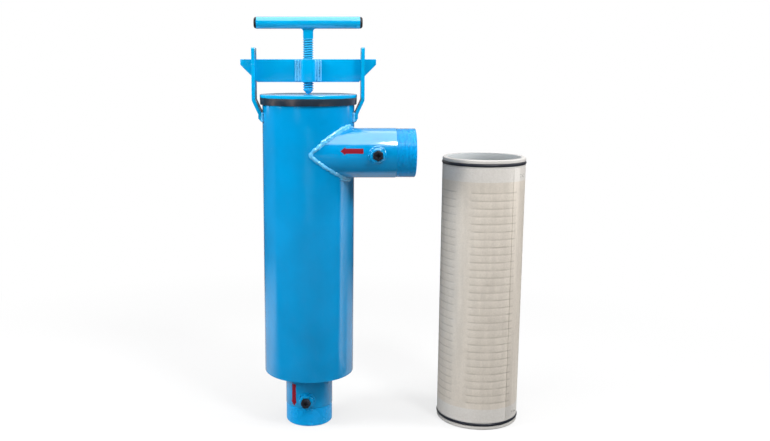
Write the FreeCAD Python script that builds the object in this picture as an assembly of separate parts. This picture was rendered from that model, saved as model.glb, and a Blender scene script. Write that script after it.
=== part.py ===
import FreeCAD, Part

import math
import os

from FreeCAD import Vector

# Irrigation screen filter, in millimetres. Z is up and the origin is the middle of the outlet's open end.
# The housing's axis is Z. The inlet points along +X and lies in front of the axis, on the -Y side.
# The filter element stands beside the housing, on the same floor.

# Shell and its bottom
shell_diameter = 168.3
shell_wall = 3.2
shell_length = 511.0
outlet_drop = 101.0
bottom_plate_thickness = 6.0

# Inlet and outlet pipes, which have the same section and thread
pipe_diameter = 88.9
pipe_wall = 4.05
pipe_tuck = 0.15
inlet_reach = 192.5
inlet_below_rim = 92.0
thread_diameter = 87.88
thread_length = 35.0

# Gauge sockets on the pipes, and their plugs
gauge_socket_diameter = 27.0
gauge_socket_height = 9.0
gauge_socket_chamfer = 3.0
gauge_port_diameter = 13.2
inlet_gauge_reach = 122.7
outlet_gauge_height = 50.5
outlet_gauge_turn = 5.8
plug_across_flats = 17.0
plug_head_height = 8.0
plug_head_chamfer = 1.2
plug_shank_length = 10.0
plug_clearance = 0.05
plug_recess = 7.0
plug_recess_depth = 4.0

# Seat rings inside the shell, in which the element's O-rings seal
seat_ring_wall = 3.0
seat_ring_height = 22.0
seat_ring_chamfer = 1.5

# Lid and the rubber band round the rim
gasket_web = 5.0
gasket_skirt = 7.0
gasket_wall = 4.4
gasket_taper = 0.6
gasket_chamfer = 1.2
gasket_bore_clearance = 0.8
lid_overhang = 4.55
lid_thickness = 6.0
lid_edge_chamfer = 1.0
lid_seat_gap = 0.2

# Straps at the sides of the shell
strap_width = 50.0
strap_thickness = 6.0
strap_lid_clearance = 7.0
strap_bend_radius = 3.0
strap_top_round = 3.0
strap_foot_lower = 36.5
strap_foot_upper = 23.0
strap_foot_bevel = 4.5
strap_upright_start = 2.0
strap_above_yoke = 20.6
window_below_yoke = 14.0
window_above_yoke = 8.0
window_side_clearance = 1.5

# Yoke: two bars on edge, welded to a long hexagon nut
yoke_height = 41.0
yoke_thickness = 10.0
yoke_overhang = 21.3
yoke_corner_cut = 31.0
yoke_above_lid = 22.0
nut_across_flats = 32.0
yoke_bead_bar_leg = 9.0
yoke_bead_nut_leg = 6.5
yoke_bead_crown = 1.2
yoke_bead_end_gap = 1.0

# Clamp screw, its point and its tee handle
screw_diameter = 19.05
screw_running_clearance = 0.075
screw_length = 127.3
screw_weld_leg = 4.6
point_height = 8.0
point_end_diameter = 5.6
point_lid_gap = 0.3
handle_diameter = 21.3
handle_wall = 2.6
handle_length = 187.0
cap_inset = 0.3
cap_head_length = 4.6
cap_head_round = 4.2
cap_plug_length = 14.0
cap_plug_chamfer = 1.0
cap_clearance = 0.05

# Filter element
screen_end_clearance = 2.0
screen_inlet_gap = 56.7
screen_stand_back = 15.0
oring_section = 6.0
oring_proud = 1.2
oring_from_end = 9.5
oring_seat_clearance = 0.15
oring_groove_clearance = 0.2
collar_wall = 8.3
collar_head_height = 15.0
collar_skirt_height = 25.0
collar_skirt_wall = 2.5
collar_edge_chamfer = 1.2
mesh_thickness = 0.6
mesh_clearance = 0.05
slot_height = 2.5
slot_pitch = 14.16
slot_arc = 70.0
slot_columns = 4
slot_turn = 8.0
slots_from_bottom = 52.0
slots_from_top = 59.5
seam_width = 18.0
seam_thickness = 0.5
seam_turn = 55.0

# Levels and radii that follow from the sizes above
shell_r = shell_diameter / 2.0
shell_inner_r = shell_r - shell_wall
rim_z = outlet_drop + shell_length
floor_z = outlet_drop + bottom_plate_thickness
pipe_r = pipe_diameter / 2.0
pipe_bore_r = pipe_r - pipe_wall
inlet_y = pipe_tuck + pipe_r - shell_r
inlet_z = rim_z - inlet_below_rim
seat_ring_bore_r = shell_inner_r - seat_ring_wall
lid_under_z = rim_z + gasket_web + lid_seat_gap
lid_top_z = lid_under_z + lid_thickness
lid_r = shell_r + lid_overhang
upright_inner_x = lid_r + strap_lid_clearance
upright_outer_x = upright_inner_x + strap_thickness
yoke_z = lid_top_z + yoke_above_lid
yoke_top_z = yoke_z + yoke_height
yoke_end_x = upright_outer_x + yoke_overhang
screw_r = screw_diameter / 2.0
point_z = lid_top_z + point_lid_gap
screw_z = point_z + point_height
handle_z = point_z + screw_length
handle_r = handle_diameter / 2.0
screen_length = rim_z + gasket_web - floor_z - screen_end_clearance
oring_outer_r = seat_ring_bore_r - oring_seat_clearance
collar_r = oring_outer_r - oring_proud
collar_bore_r = collar_r - collar_wall
screen_tube_r = collar_r - mesh_thickness - mesh_clearance
skirt_bore_r = screen_tube_r - collar_skirt_wall
screen_x = inlet_reach + screen_inlet_gap + oring_outer_r
screen_y = screen_stand_back

X_AXIS = Vector(1, 0, 0)
Y_AXIS = Vector(0, 1, 0)
Z_AXIS = Vector(0, 0, 1)
SIDES = {"left": -1.0, "right": 1.0}


def post(radius, low, high, x=0.0, y=0.0):
    """An upright cylinder between two heights."""
    return Part.makeCylinder(radius, high - low, Vector(x, y, low), Z_AXIS)


def bar_along_x(radius, start, end, y, z):
    """A cylinder along +X between two distances."""
    return Part.makeCylinder(radius, end - start, Vector(start, y, z), X_AXIS)


def rounded_face(corners, radii):
    """A flat face with these corners, each rounded by its own radius."""
    edges = []
    starts = []
    ends = []
    for index, corner in enumerate(corners):
        to_last = (corners[index - 1] - corner).normalize()
        to_next = (corners[(index + 1) % len(corners)] - corner).normalize()
        radius = radii[index]
        if radius == 0.0:
            starts.append(corner)
            ends.append(corner)
            continue
        half_angle = to_last.getAngle(to_next) / 2.0
        cut = radius / math.tan(half_angle)
        bisector = (to_last + to_next).normalize()
        middle = corner + bisector * (radius / math.sin(half_angle) - radius)
        starts.append(corner + to_last * cut)
        ends.append(corner + to_next * cut)
        edges.append(Part.Arc(starts[index], middle, ends[index]).toShape())
    for index, end in enumerate(ends):
        edges.append(Part.LineSegment(end, starts[(index + 1) % len(corners)]).toShape())
    return Part.Face(Part.Wire(Part.__sortEdges__(edges)))


def turned(profile, radii):
    """A body of revolution about Z from (radius, height) corners, each with its own rounding."""
    face = rounded_face([Vector(r, 0, z) for r, z in profile], radii)
    return face.revolve(Vector(0, 0, 0), Z_AXIS, 360)


def mirrored_to_side(shape, side):
    """The shape itself on the right, and its mirror image on the left."""
    if side > 0:
        return shape
    return shape.mirror(Vector(0, 0, 0), X_AXIS)


def on_stand(shape):
    """Move a piece of the element from the housing's axis to where the element stands."""
    moved = shape.copy()
    moved.translate(Vector(screen_x, screen_y, 0))
    return moved


def upside_down(shape, length):
    """Turn a piece of the element over, end for end."""
    return shape.mirror(Vector(0, 0, length / 2.0), Z_AXIS)


def shell_tube():
    """The shell, open at the top, with the hole where the inlet's bore runs into it."""
    wall = post(shell_r, outlet_drop, rim_z).cut(post(shell_inner_r, outlet_drop, rim_z))
    return wall.cut(bar_along_x(pipe_bore_r, 0, shell_diameter, inlet_y, inlet_z))


def bottom_plate():
    """The disc inside the shell's lower end, with the hole for the outlet pipe."""
    return post(shell_inner_r, outlet_drop, floor_z).cut(post(pipe_r, outlet_drop, floor_z))


def seat_ring(low):
    """A ring against the shell's inner wall, with a lead-in chamfer at its upper mouth."""
    high = low + seat_ring_height
    profile = [(seat_ring_bore_r, low), (shell_inner_r, low), (shell_inner_r, high),
               (seat_ring_bore_r + seat_ring_chamfer, high), (seat_ring_bore_r, high - seat_ring_chamfer)]
    return turned(profile, [0.0] * len(profile))


def outlet_gauge_placed(shape):
    """Turn a piece made on the -Y side about the housing's axis to the outlet gauge's place."""
    return shape.rotated(Vector(0, 0, 0), Z_AXIS, -outlet_gauge_turn)


def gauge_port(face_y):
    """The hole through a pipe's front wall into its bore, along Y at the origin."""
    return Part.makeCylinder(gauge_port_diameter / 2.0, pipe_r, Vector(0, face_y - pipe_wall, 0), Y_AXIS)


def moved_to_inlet_gauge(shape):
    """Carry a piece made for a pipe along Z at the origin to the inlet pipe's gauge."""
    upright = shape.rotated(Vector(0, 0, 0), Y_AXIS, 90)
    return upright.translated(Vector(inlet_gauge_reach, inlet_y, inlet_z))


def moved_to_outlet_gauge(shape):
    """Carry a piece made for a pipe along Z at the origin to the outlet pipe's gauge."""
    return outlet_gauge_placed(shape).translated(Vector(0, 0, outlet_gauge_height))


def inlet_pipe():
    """The tangential inlet, cut to the shell's outer face, with its turned-down threaded end."""
    thread_x = inlet_reach - thread_length
    pipe = bar_along_x(pipe_r, 0, thread_x, inlet_y, inlet_z)
    pipe = pipe.fuse(bar_along_x(thread_diameter / 2.0, thread_x, inlet_reach, inlet_y, inlet_z))
    pipe = pipe.cut(bar_along_x(pipe_bore_r, 0, inlet_reach, inlet_y, inlet_z))
    pipe = pipe.cut(post(shell_r, outlet_drop, rim_z))
    return pipe.cut(moved_to_inlet_gauge(gauge_port(-pipe_r)))


def outlet_pipe():
    """The outlet under the shell, which runs up through the bottom plate."""
    pipe = post(thread_diameter / 2.0, 0, thread_length)
    pipe = pipe.fuse(post(pipe_r, thread_length, floor_z))
    pipe = pipe.cut(post(pipe_bore_r, 0, floor_z))
    return pipe.cut(moved_to_outlet_gauge(gauge_port(-pipe_r)))


def gauge_socket():
    """A round boss on the front of a pipe along Z at the origin, saddled to it and bored."""
    outer_r = gauge_socket_diameter / 2.0
    rim_r = outer_r - gauge_socket_chamfer
    face = pipe_r + gauge_socket_height
    shoulder = face - gauge_socket_chamfer
    port_r = gauge_port_diameter / 2.0
    profile = [(port_r, 0), (outer_r, 0), (outer_r, shoulder), (rim_r, face), (port_r, face)]
    boss = turned(profile, [0.0] * len(profile))
    boss = boss.rotated(Vector(0, 0, 0), X_AXIS, 90)
    return boss.cut(post(pipe_r, -gauge_socket_diameter, gauge_socket_diameter))


def gauge_plug():
    """A hexagon-headed plug seated on the socket's face, with a square recess in its head."""
    face = pipe_r + gauge_socket_height
    head_top = face + plug_head_height
    corner_r = plug_across_flats / math.sqrt(3.0)
    shank_r = gauge_port_diameter / 2.0 - plug_clearance
    shank = post(shank_r, face - plug_shank_length, face)
    head = hexagon(plug_across_flats, face, head_top, 0.0)
    crown = Part.makeCone(corner_r, corner_r - plug_head_chamfer, plug_head_chamfer,
                          Vector(0, 0, head_top - plug_head_chamfer), Z_AXIS)
    crown = crown.fuse(post(corner_r, face, head_top - plug_head_chamfer))
    half_recess = plug_recess / 2.0
    recess = Part.makeBox(plug_recess, plug_recess, plug_recess_depth,
                          Vector(-half_recess, -half_recess, head_top - plug_recess_depth))
    recess = recess.rotated(Vector(0, 0, 0), Z_AXIS, 45)
    plug = head.common(crown).fuse(shank).cut(recess)
    return plug.removeSplitter().rotated(Vector(0, 0, 0), X_AXIS, 90)


def hexagon(across_flats, low, high, turn):
    """An upright hexagon prism with a flat towards -Y when turn is 0."""
    corner_r = across_flats / math.sqrt(3.0)
    corners = []
    for step in range(6):
        angle = math.radians(turn + 60.0 * step)
        corners.append(Vector(corner_r * math.cos(angle), corner_r * math.sin(angle), low))
    return Part.Face(Part.makePolygon(corners + corners[:1])).extrude(Vector(0, 0, high - low))


def strap(side):
    """A bent flat bar: a foot bevelled at its end, a slope outwards and an upright with the yoke's window.

    The weld that fills the wedges between the flat foot and the round shell is part of it.
    """
    foot_low = rim_z - strap_foot_lower
    foot_high = rim_z - strap_foot_upper
    bend_z = rim_z + strap_upright_start
    top_z = yoke_top_z + strap_above_yoke
    half_width = strap_width / 2.0
    foot_outer = shell_r + strap_thickness
    slope_angle = math.atan2(upright_inner_x - shell_r, bend_z - foot_high)
    mitre = strap_thickness * math.tan(slope_angle / 2.0)
    outer_bend = strap_bend_radius + strap_thickness
    corners = [(shell_r, foot_low), (shell_r, foot_high), (upright_inner_x, bend_z),
               (upright_inner_x, top_z), (upright_outer_x, top_z),
               (upright_outer_x, bend_z - mitre), (foot_outer, foot_high - mitre),
               (foot_outer, foot_low + strap_foot_bevel), (foot_outer - strap_foot_bevel, foot_low)]
    radii = [0.0, outer_bend, strap_bend_radius, 0.0, 0.0, outer_bend, strap_bend_radius, 0.0, 0.0]
    side_face = rounded_face([Vector(x, -half_width, z) for x, z in corners], radii)
    bar = side_face.extrude(Vector(0, strap_width, 0))
    wedge = Part.makeBox(strap_thickness, strap_width, foot_high - foot_low,
                         Vector(shell_r - strap_thickness, -half_width, foot_low))
    bar = bar.fuse(wedge.cut(post(shell_r, foot_low, foot_high))).removeSplitter()
    window_width = yoke_thickness + 2.0 * window_side_clearance
    window_low = yoke_z - window_below_yoke
    window_high = yoke_top_z + window_above_yoke
    window_corners = [(-window_width / 2.0, window_low), (window_width / 2.0, window_low),
                      (window_width / 2.0, window_high), (-window_width / 2.0, window_high)]
    window = rounded_face([Vector(upright_inner_x - strap_thickness, y, z) for y, z in window_corners],
                          [strap_top_round] * 4)
    bar = bar.cut(window.extrude(Vector(3.0 * strap_thickness, 0, 0)))
    top_corners = [edge for edge in bar.Edges
                   if edge.BoundBox.YLength < 0.1 and edge.BoundBox.ZMin > top_z - 0.1
                   and edge.BoundBox.XLength > strap_thickness - 0.1]
    bar = bar.makeFillet(strap_top_round, top_corners)
    return mirrored_to_side(bar, side)


def lid_gasket():
    """The rubber band that lies on the rim and hangs down round the shell's outside."""
    bore_r = seat_ring_bore_r + gasket_bore_clearance
    outer_r = shell_r + gasket_wall
    low = rim_z - gasket_skirt
    high = rim_z + gasket_web
    profile = [(bore_r, rim_z), (shell_r, rim_z), (shell_r, low), (outer_r - gasket_taper, low),
               (outer_r, high - gasket_chamfer), (outer_r - gasket_chamfer, high), (bore_r, high)]
    return turned(profile, [0.0] * len(profile))


def lid_plate():
    """A flat disc with eased edges, a little wider than the gasket."""
    eased_r = lid_r - lid_edge_chamfer
    profile = [(0, lid_under_z), (eased_r, lid_under_z), (lid_r, lid_under_z + lid_edge_chamfer),
               (lid_r, lid_top_z - lid_edge_chamfer), (eased_r, lid_top_z), (0, lid_top_z)]
    return turned(profile, [0.0] * len(profile))


def nut_block():
    """The hexagon that the bars are fitted to, with a corner towards each bar."""
    return hexagon(nut_across_flats, yoke_z, yoke_top_z, 0.0)


def yoke_nut():
    """The long nut, bored to run on the screw."""
    bore_r = screw_r + screw_running_clearance
    return nut_block().cut(post(bore_r, yoke_z, yoke_top_z))


def yoke_bar(side):
    """A bar on edge from the nut out through the window, with its lower outer corner cut off."""
    half_thickness = yoke_thickness / 2.0
    corners = [Vector(0, -half_thickness, yoke_z),
               Vector(yoke_end_x - yoke_corner_cut, -half_thickness, yoke_z),
               Vector(yoke_end_x, -half_thickness, yoke_z + yoke_corner_cut),
               Vector(yoke_end_x, -half_thickness, yoke_top_z),
               Vector(0, -half_thickness, yoke_top_z)]
    bar = rounded_face(corners, [0.0] * 5).extrude(Vector(0, yoke_thickness, 0))
    return mirrored_to_side(bar.cut(nut_block()), side)


def yoke_weld_beads():
    """Four upright fillets with raised faces, in the corners between the bars' faces and the nut's flanks."""
    half_thickness = yoke_thickness / 2.0
    corner = Vector(nut_across_flats / math.sqrt(3.0) - half_thickness / math.sqrt(3.0), half_thickness, 0)
    up_the_flank = Vector(-math.cos(math.radians(60)), math.sin(math.radians(60)), 0)
    bar_toe = corner + X_AXIS * yoke_bead_bar_leg
    nut_toe = corner + up_the_flank * yoke_bead_nut_leg
    face_normal = Z_AXIS.cross(nut_toe - bar_toe).normalize() * -1.0
    crown = (bar_toe + nut_toe) * 0.5 + face_normal * yoke_bead_crown
    low = yoke_z + yoke_bead_end_gap
    height = yoke_height - 2.0 * yoke_bead_end_gap
    beads = []
    for side_x in SIDES.values():
        for side_y in SIDES.values():
            section = [Vector(side_x * point.x, side_y * point.y, low)
                       for point in (corner, bar_toe, crown, nut_toe, corner)]
            beads.append(Part.Face(Part.makePolygon(section)).extrude(Vector(0, 0, height)))
    return Part.makeCompound(beads)


def screw_point():
    """The blunt cone at the screw's lower end."""
    return Part.makeCone(point_end_diameter / 2.0, screw_r, point_height, Vector(0, 0, point_z), Z_AXIS)


def clamp_screw():
    """The rod from the point up to the handle, with a weld fillet at each side along the tube's underside."""
    fillet_r = screw_r + screw_weld_leg
    tube_under_z = handle_z - handle_r
    fillet_low = tube_under_z - screw_weld_leg
    rod = post(screw_r, screw_z, handle_z)
    fillet = Part.makeCone(screw_r, fillet_r, screw_weld_leg, Vector(0, 0, fillet_low), Z_AXIS)
    fillet = fillet.fuse(post(fillet_r, tube_under_z, handle_z - screw_weld_leg))
    slab = Part.makeBox(2.0 * fillet_r, screw_diameter, handle_r, Vector(-fillet_r, -screw_r, fillet_low))
    return rod.fuse(fillet.common(slab)).cut(handle_cylinder(handle_r)).removeSplitter()


def handle_cylinder(radius):
    """A cylinder as long as the handle tube, along X through the handle's height."""
    return bar_along_x(radius, -handle_length / 2.0, handle_length / 2.0, 0, handle_z)


def tee_handle():
    """The cross tube, welded over the top of the screw."""
    return handle_cylinder(handle_r).cut(handle_cylinder(handle_r - handle_wall))


def handle_cap(side):
    """A plug pushed into the tube's end, with a domed head."""
    plug_r = handle_r - handle_wall - cap_clearance
    head_r = handle_r - cap_inset
    lead_in_r = plug_r - cap_plug_chamfer
    profile = [(0, -cap_plug_length), (lead_in_r, -cap_plug_length),
               (plug_r, cap_plug_chamfer - cap_plug_length), (plug_r, 0), (head_r, 0),
               (head_r, cap_head_length), (0, cap_head_length)]
    cap = turned(profile, [0.0, 0.0, 0.0, 0.0, 0.0, cap_head_round, 0.0])
    cap = cap.rotated(Vector(0, 0, 0), Y_AXIS, 90).translated(Vector(handle_length / 2.0, 0, handle_z))
    return mirrored_to_side(cap, side)


def screen_slots():
    """Saw cuts through the element's tube: level rows of short arcs, in columns round it."""
    usable = screen_length - slots_from_bottom - slots_from_top
    rows = 1 + int(usable / slot_pitch + 0.5)
    chord = screen_tube_r * math.cos(math.radians(slot_arc / 2.0))
    half_chord = screen_tube_r * math.sin(math.radians(slot_arc / 2.0))
    cuts = []
    for row in range(rows):
        low = slots_from_bottom + row * slot_pitch - slot_height / 2.0
        for column in range(slot_columns):
            cut = Part.makeBox(2.0 * half_chord, screen_tube_r, slot_height,
                               Vector(-half_chord, -chord - screen_tube_r, low))
            turn = slot_turn + column * 360.0 / slot_columns
            cuts.append(cut.rotated(Vector(0, 0, 0), Z_AXIS, turn))
    return cuts


def screen_support_tube():
    """The slotted tube, with its ends turned down to fit inside the collars' skirts."""
    low = collar_head_height
    high = screen_length - collar_head_height
    skirt = collar_skirt_height
    profile = [(collar_bore_r, low), (skirt_bore_r, low), (skirt_bore_r, low + skirt),
               (screen_tube_r, low + skirt), (screen_tube_r, high - skirt),
               (skirt_bore_r, high - skirt), (skirt_bore_r, high), (collar_bore_r, high)]
    tube = turned(profile, [0.0] * len(profile))
    return on_stand(tube.cut(screen_slots()))


def screen_collar(at_top):
    """An end collar: a head with the O-ring's groove, and a skirt glued over the tube's end."""
    groove_half = oring_section / 2.0 + oring_groove_clearance
    groove_r = oring_outer_r - oring_section
    skirt_end = collar_head_height + collar_skirt_height
    eased_r = collar_r - collar_edge_chamfer
    profile = [(collar_bore_r, 0), (eased_r, 0), (collar_r, collar_edge_chamfer),
               (collar_r, oring_from_end - groove_half),
               (groove_r, oring_from_end - groove_half), (groove_r, oring_from_end + groove_half),
               (collar_r, oring_from_end + groove_half), (collar_r, collar_head_height),
               (screen_tube_r, collar_head_height), (screen_tube_r, skirt_end),
               (skirt_bore_r, skirt_end), (skirt_bore_r, collar_head_height),
               (collar_bore_r, collar_head_height)]
    collar = turned(profile, [0.0] * len(profile))
    if at_top:
        collar = upside_down(collar, screen_length)
    return on_stand(collar)


def screen_oring(at_top):
    """An O-ring in its collar's groove."""
    ring = Part.makeTorus(oring_outer_r - oring_section / 2.0, oring_section / 2.0,
                          Vector(0, 0, oring_from_end), Z_AXIS)
    if at_top:
        ring = upside_down(ring, screen_length)
    return on_stand(ring)


def screen_mesh():
    """The wire cloth, a thin sleeve from head to head."""
    low = collar_head_height
    high = screen_length - collar_head_height
    return on_stand(post(collar_r, low, high).cut(post(screen_tube_r + mesh_clearance, low, high)))


def screen_seam_strip():
    """The cloth's upright lap, a narrow strip on the outside of the sleeve."""
    low = collar_head_height
    high = screen_length - collar_head_height
    inner_r = collar_r + mesh_clearance
    outer_r = inner_r + seam_thickness
    layer = post(outer_r, low, high).cut(post(inner_r, low, high))
    strip = layer.common(Part.makeBox(seam_width, outer_r, high - low, Vector(-seam_width / 2.0, -outer_r, low)))
    return on_stand(strip.rotated(Vector(0, 0, 0), Z_AXIS, seam_turn))


def save(node, shape):
    """Check a sub-part's solids and write it under its node's name."""
    if not shape.isValid() or not shape.Solids:
        raise ValueError(node + " is not a valid solid")
    shape.exportStep(os.path.join("parts", node + ".step"))


def build():
    """Make every sub-part by its node's name."""
    nodes = {
        "shell_tube": shell_tube(),
        "bottom_plate": bottom_plate(),
        "lower_seat_ring": seat_ring(floor_z),
        "upper_seat_ring": seat_ring(rim_z - seat_ring_height),
        "inlet_pipe": inlet_pipe(),
        "outlet_pipe": outlet_pipe(),
        "inlet_gauge_socket": moved_to_inlet_gauge(gauge_socket()),
        "outlet_gauge_socket": moved_to_outlet_gauge(gauge_socket()),
        "inlet_gauge_plug": moved_to_inlet_gauge(gauge_plug()),
        "outlet_gauge_plug": moved_to_outlet_gauge(gauge_plug()),
        "lid_gasket": lid_gasket(),
        "lid_plate": lid_plate(),
        "yoke_nut": yoke_nut(),
        "yoke_weld_beads": yoke_weld_beads(),
        "screw_point": screw_point(),
        "clamp_screw": clamp_screw(),
        "tee_handle": tee_handle(),
        "screen_support_tube": screen_support_tube(),
        "screen_mesh": screen_mesh(),
        "screen_seam_strip": screen_seam_strip(),
        "screen_top_collar": screen_collar(True),
        "screen_bottom_collar": screen_collar(False),
        "screen_top_oring": screen_oring(True),
        "screen_bottom_oring": screen_oring(False),
    }
    for name, side in SIDES.items():
        nodes[name + "_strap"] = strap(side)
        nodes["yoke_bar_" + name] = yoke_bar(side)
        nodes["handle_cap_" + name] = handle_cap(side)
    return nodes


os.makedirs("parts", exist_ok=True)
for node_name, node_shape in build().items():
    save(node_name, node_shape)
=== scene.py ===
"""The finished looks of an irrigation screen filter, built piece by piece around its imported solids."""

import logging
import math
import random
from collections.abc import Callable, Iterator
from contextlib import contextmanager
from dataclasses import dataclass
from enum import Enum

import bpy
from mathutils import Matrix, Vector


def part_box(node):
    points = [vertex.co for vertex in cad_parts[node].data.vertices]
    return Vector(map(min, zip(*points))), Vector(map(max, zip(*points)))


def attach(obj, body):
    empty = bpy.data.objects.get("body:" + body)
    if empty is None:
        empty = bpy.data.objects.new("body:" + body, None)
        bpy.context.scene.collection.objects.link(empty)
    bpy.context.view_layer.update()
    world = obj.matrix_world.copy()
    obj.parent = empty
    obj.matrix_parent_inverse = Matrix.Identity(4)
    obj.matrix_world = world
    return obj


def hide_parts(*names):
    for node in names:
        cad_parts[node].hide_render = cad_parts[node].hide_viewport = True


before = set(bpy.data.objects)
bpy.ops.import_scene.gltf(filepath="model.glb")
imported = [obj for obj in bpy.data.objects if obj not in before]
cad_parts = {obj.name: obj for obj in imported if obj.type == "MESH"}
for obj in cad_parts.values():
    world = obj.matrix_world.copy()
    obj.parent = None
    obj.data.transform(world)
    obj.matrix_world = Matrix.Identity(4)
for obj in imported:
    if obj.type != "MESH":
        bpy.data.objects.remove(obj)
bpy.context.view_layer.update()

LOG = logging.getLogger("filter")
MM = 0.001
FULL_TURN = 2.0 * math.pi
MERGE_DISTANCE = 0.002 * MM
SHARP_ANGLE = math.radians(32.0)
CORNER_STEPS = 6
ORIGIN = Vector((0.0, 0.0, 0.0))
UP = Vector((0.0, 0.0, 1.0))
RIGHT = Vector((1.0, 0.0, 0.0))
BACK = Vector((0.0, 1.0, 0.0))

Colour = tuple[float, float, float]
Profile = list[tuple[float, float]]
Piece = bpy.types.Object
Material = bpy.types.Material
Socket = bpy.types.NodeSocket


class Slot(Enum):
    """The material slots of the record."""

    PAINT = "blue_paint"
    PLUG = "plug_plastic"
    GASKET = "gasket_rubber"
    CAP = "cap_plastic"
    TUBE = "screen_plastic"
    CLOTH = "wire_cloth"
    ORING = "oring_rubber"


class Side(Enum):
    """The left and right sides, as signs along X."""

    LEFT = -1
    RIGHT = 1


class Keep(Enum):
    """Which part of a piece a cutting tool leaves."""

    OUTSIDE = "DIFFERENCE"
    INSIDE = "INTERSECT"


@dataclass(frozen=True)
class NodeBox:
    """The lowest and highest corners of a CAD node at rest."""

    low: Vector
    high: Vector

    @classmethod
    def of(cls, node: str) -> "NodeBox":
        """The box of the node with this name."""
        return cls(*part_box(node))

    @property
    def middle(self) -> Vector:
        """The middle of the box."""
        return (self.low + self.high) / 2.0

    @property
    def size(self) -> Vector:
        """The lengths of the box's sides."""
        return self.high - self.low


@dataclass(frozen=True)
class Spindle:
    """An axis to turn pieces about: a point on it, the way along it and the way that profiles are drawn."""

    centre: Vector
    along: Vector
    outward: Vector

    def at(self, radius: float, distance: float) -> Vector:
        """The point of a profile at this radius and distance along the axis."""
        return self.centre + self.outward * radius + self.along * distance

    def placement(self) -> Matrix:
        """The matrix that carries a piece made about Z at the origin to this axis.

        Returns:
            The matrix.
        """
        side = self.along.cross(self.outward)
        turn = Matrix((self.outward, side, self.along)).transposed()
        return Matrix.Translation(self.centre) @ turn.to_4x4()


def level_axis(node: str) -> Spindle:
    """The axis along X through the middle of a node's box, counted from the housing's axis."""
    middle = NodeBox.of(node).middle
    return Spindle(Vector((0.0, middle.y, middle.z)), RIGHT, UP)


SHELL = NodeBox.of("shell_tube")
SHELL_RADIUS = SHELL.size.x / 2.0
HOUSING_AXIS = Spindle(ORIGIN, UP, RIGHT)
INLET_AXIS = level_axis("inlet_pipe")


def from_front(turn: float) -> Vector:
    """The level way at this turn from the front."""
    return Vector((math.sin(turn), -math.cos(turn), 0.0))


def quarter_arc(radius: float, height: float, bend: float, inwards: float, steps: int) -> Profile:
    """The corners of a quarter circle in a profile, from its level end to its upright end.

    Args:
        radius: The radius of the circle's middle.
        height: The height of the circle's middle.
        bend: The circle's own radius.
        inwards: 1 for a dome, or -1 for a flare on the middle's inner side.
        steps: How many edges it has.

    Returns:
        The corners.
    """
    angles = (math.pi / 2.0 * step / steps for step in range(steps + 1))
    return [(radius + inwards * bend * math.cos(angle), height + bend * math.sin(angle)) for angle in angles]


def clear_selection() -> None:
    """Leaves object mode and deselects everything, before a primitive is added."""
    if bpy.context.mode != "OBJECT":
        bpy.ops.object.mode_set(mode="OBJECT")
    bpy.ops.object.select_all(action="DESELECT")


def make_active(piece: Piece) -> None:
    """Selects one piece alone, in object mode.

    Args:
        piece: The piece to select.
    """
    clear_selection()
    piece.select_set(True)
    bpy.context.view_layer.objects.active = piece


@contextmanager
def editing(piece: Piece, everything: bool = True) -> Iterator[None]:
    """Opens a piece in edit mode, with everything selected or as it was, and closes it again.

    Args:
        piece: The piece to edit.
        everything: Whether all of it is selected first.

    Returns:
        A context in which the piece is in edit mode.
    """
    make_active(piece)
    bpy.ops.object.mode_set(mode="EDIT")
    if everything:
        bpy.ops.mesh.select_mode(type="VERT")
        bpy.ops.mesh.select_all(action="SELECT")
    yield
    bpy.ops.object.mode_set(mode="OBJECT")


def named_primitive(name: str) -> Piece:
    """Names the primitive that an operator has just added, and its mesh.

    Args:
        name: The name.

    Returns:
        The primitive.
    """
    piece = bpy.context.active_object
    piece.name = name
    piece.data.name = name
    return piece


def settle(piece: Piece) -> None:
    """Moves a piece's place, turn and size into its mesh."""
    make_active(piece)
    bpy.ops.object.transform_apply(location=True, rotation=True, scale=True)


def tidy_mesh(piece: Piece) -> None:
    """Merges a piece's doubled points and turns its faces outwards.

    Args:
        piece: The piece to tidy.
    """
    with editing(piece):
        bpy.ops.mesh.remove_doubles(threshold=MERGE_DISTANCE)
        bpy.ops.mesh.normals_make_consistent(inside=False)


def with_modifier(piece: Piece, kind: str, **settings: object) -> Piece:
    """Adds a modifier to a piece and applies it.

    Args:
        piece: The piece to change.
        kind: Blender's name of the modifier's type.
        settings: The modifier's properties and their values.

    Returns:
        The same piece.
    """
    modifier = piece.modifiers.new(name=kind.title(), type=kind)
    for name, value in settings.items():
        setattr(modifier, name, value)
    make_active(piece)
    bpy.ops.object.modifier_apply(modifier=modifier.name)
    return piece


def eased(piece: Piece, width: float, segments: int = 3) -> Piece:
    """Rounds a piece's sharp edges by a bevel of this width."""
    return with_modifier(piece, "BEVEL", width=width, segments=segments, limit_method="ANGLE",
                         angle_limit=SHARP_ANGLE, use_clamp_overlap=True)


def carved(piece: Piece, tool: Piece, keep: Keep = Keep.OUTSIDE) -> Piece:
    """Cuts a piece with a tool, which is used up.

    Args:
        piece: The piece to cut.
        tool: A closed piece.
        keep: Whether what lies outside or inside the tool is left.

    Returns:
        The cut piece.
    """
    with_modifier(piece, "BOOLEAN", object=tool, operation=keep.value, solver="EXACT")
    bpy.data.objects.remove(tool)
    return piece


def edges_rounded(piece: Piece, radius: float, wanted: Callable[[Vector, Vector], bool]) -> Piece:
    """Rounds some of a piece's edges.

    Args:
        piece: The piece to change.
        radius: The rounding's radius.
        wanted: A test that an edge's two ends pass where it is to be rounded.

    Returns:
        The same piece.
    """
    with editing(piece):
        bpy.ops.mesh.select_mode(type="EDGE")
        bpy.ops.mesh.select_all(action="DESELECT")
    points = piece.data.vertices
    for edge in piece.data.edges:
        start, end = (points[index].co for index in edge.vertices)
        edge.select = wanted(start, end)
    with editing(piece, everything=False):
        bpy.ops.mesh.bevel(offset=radius, segments=5)
    return piece


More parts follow.
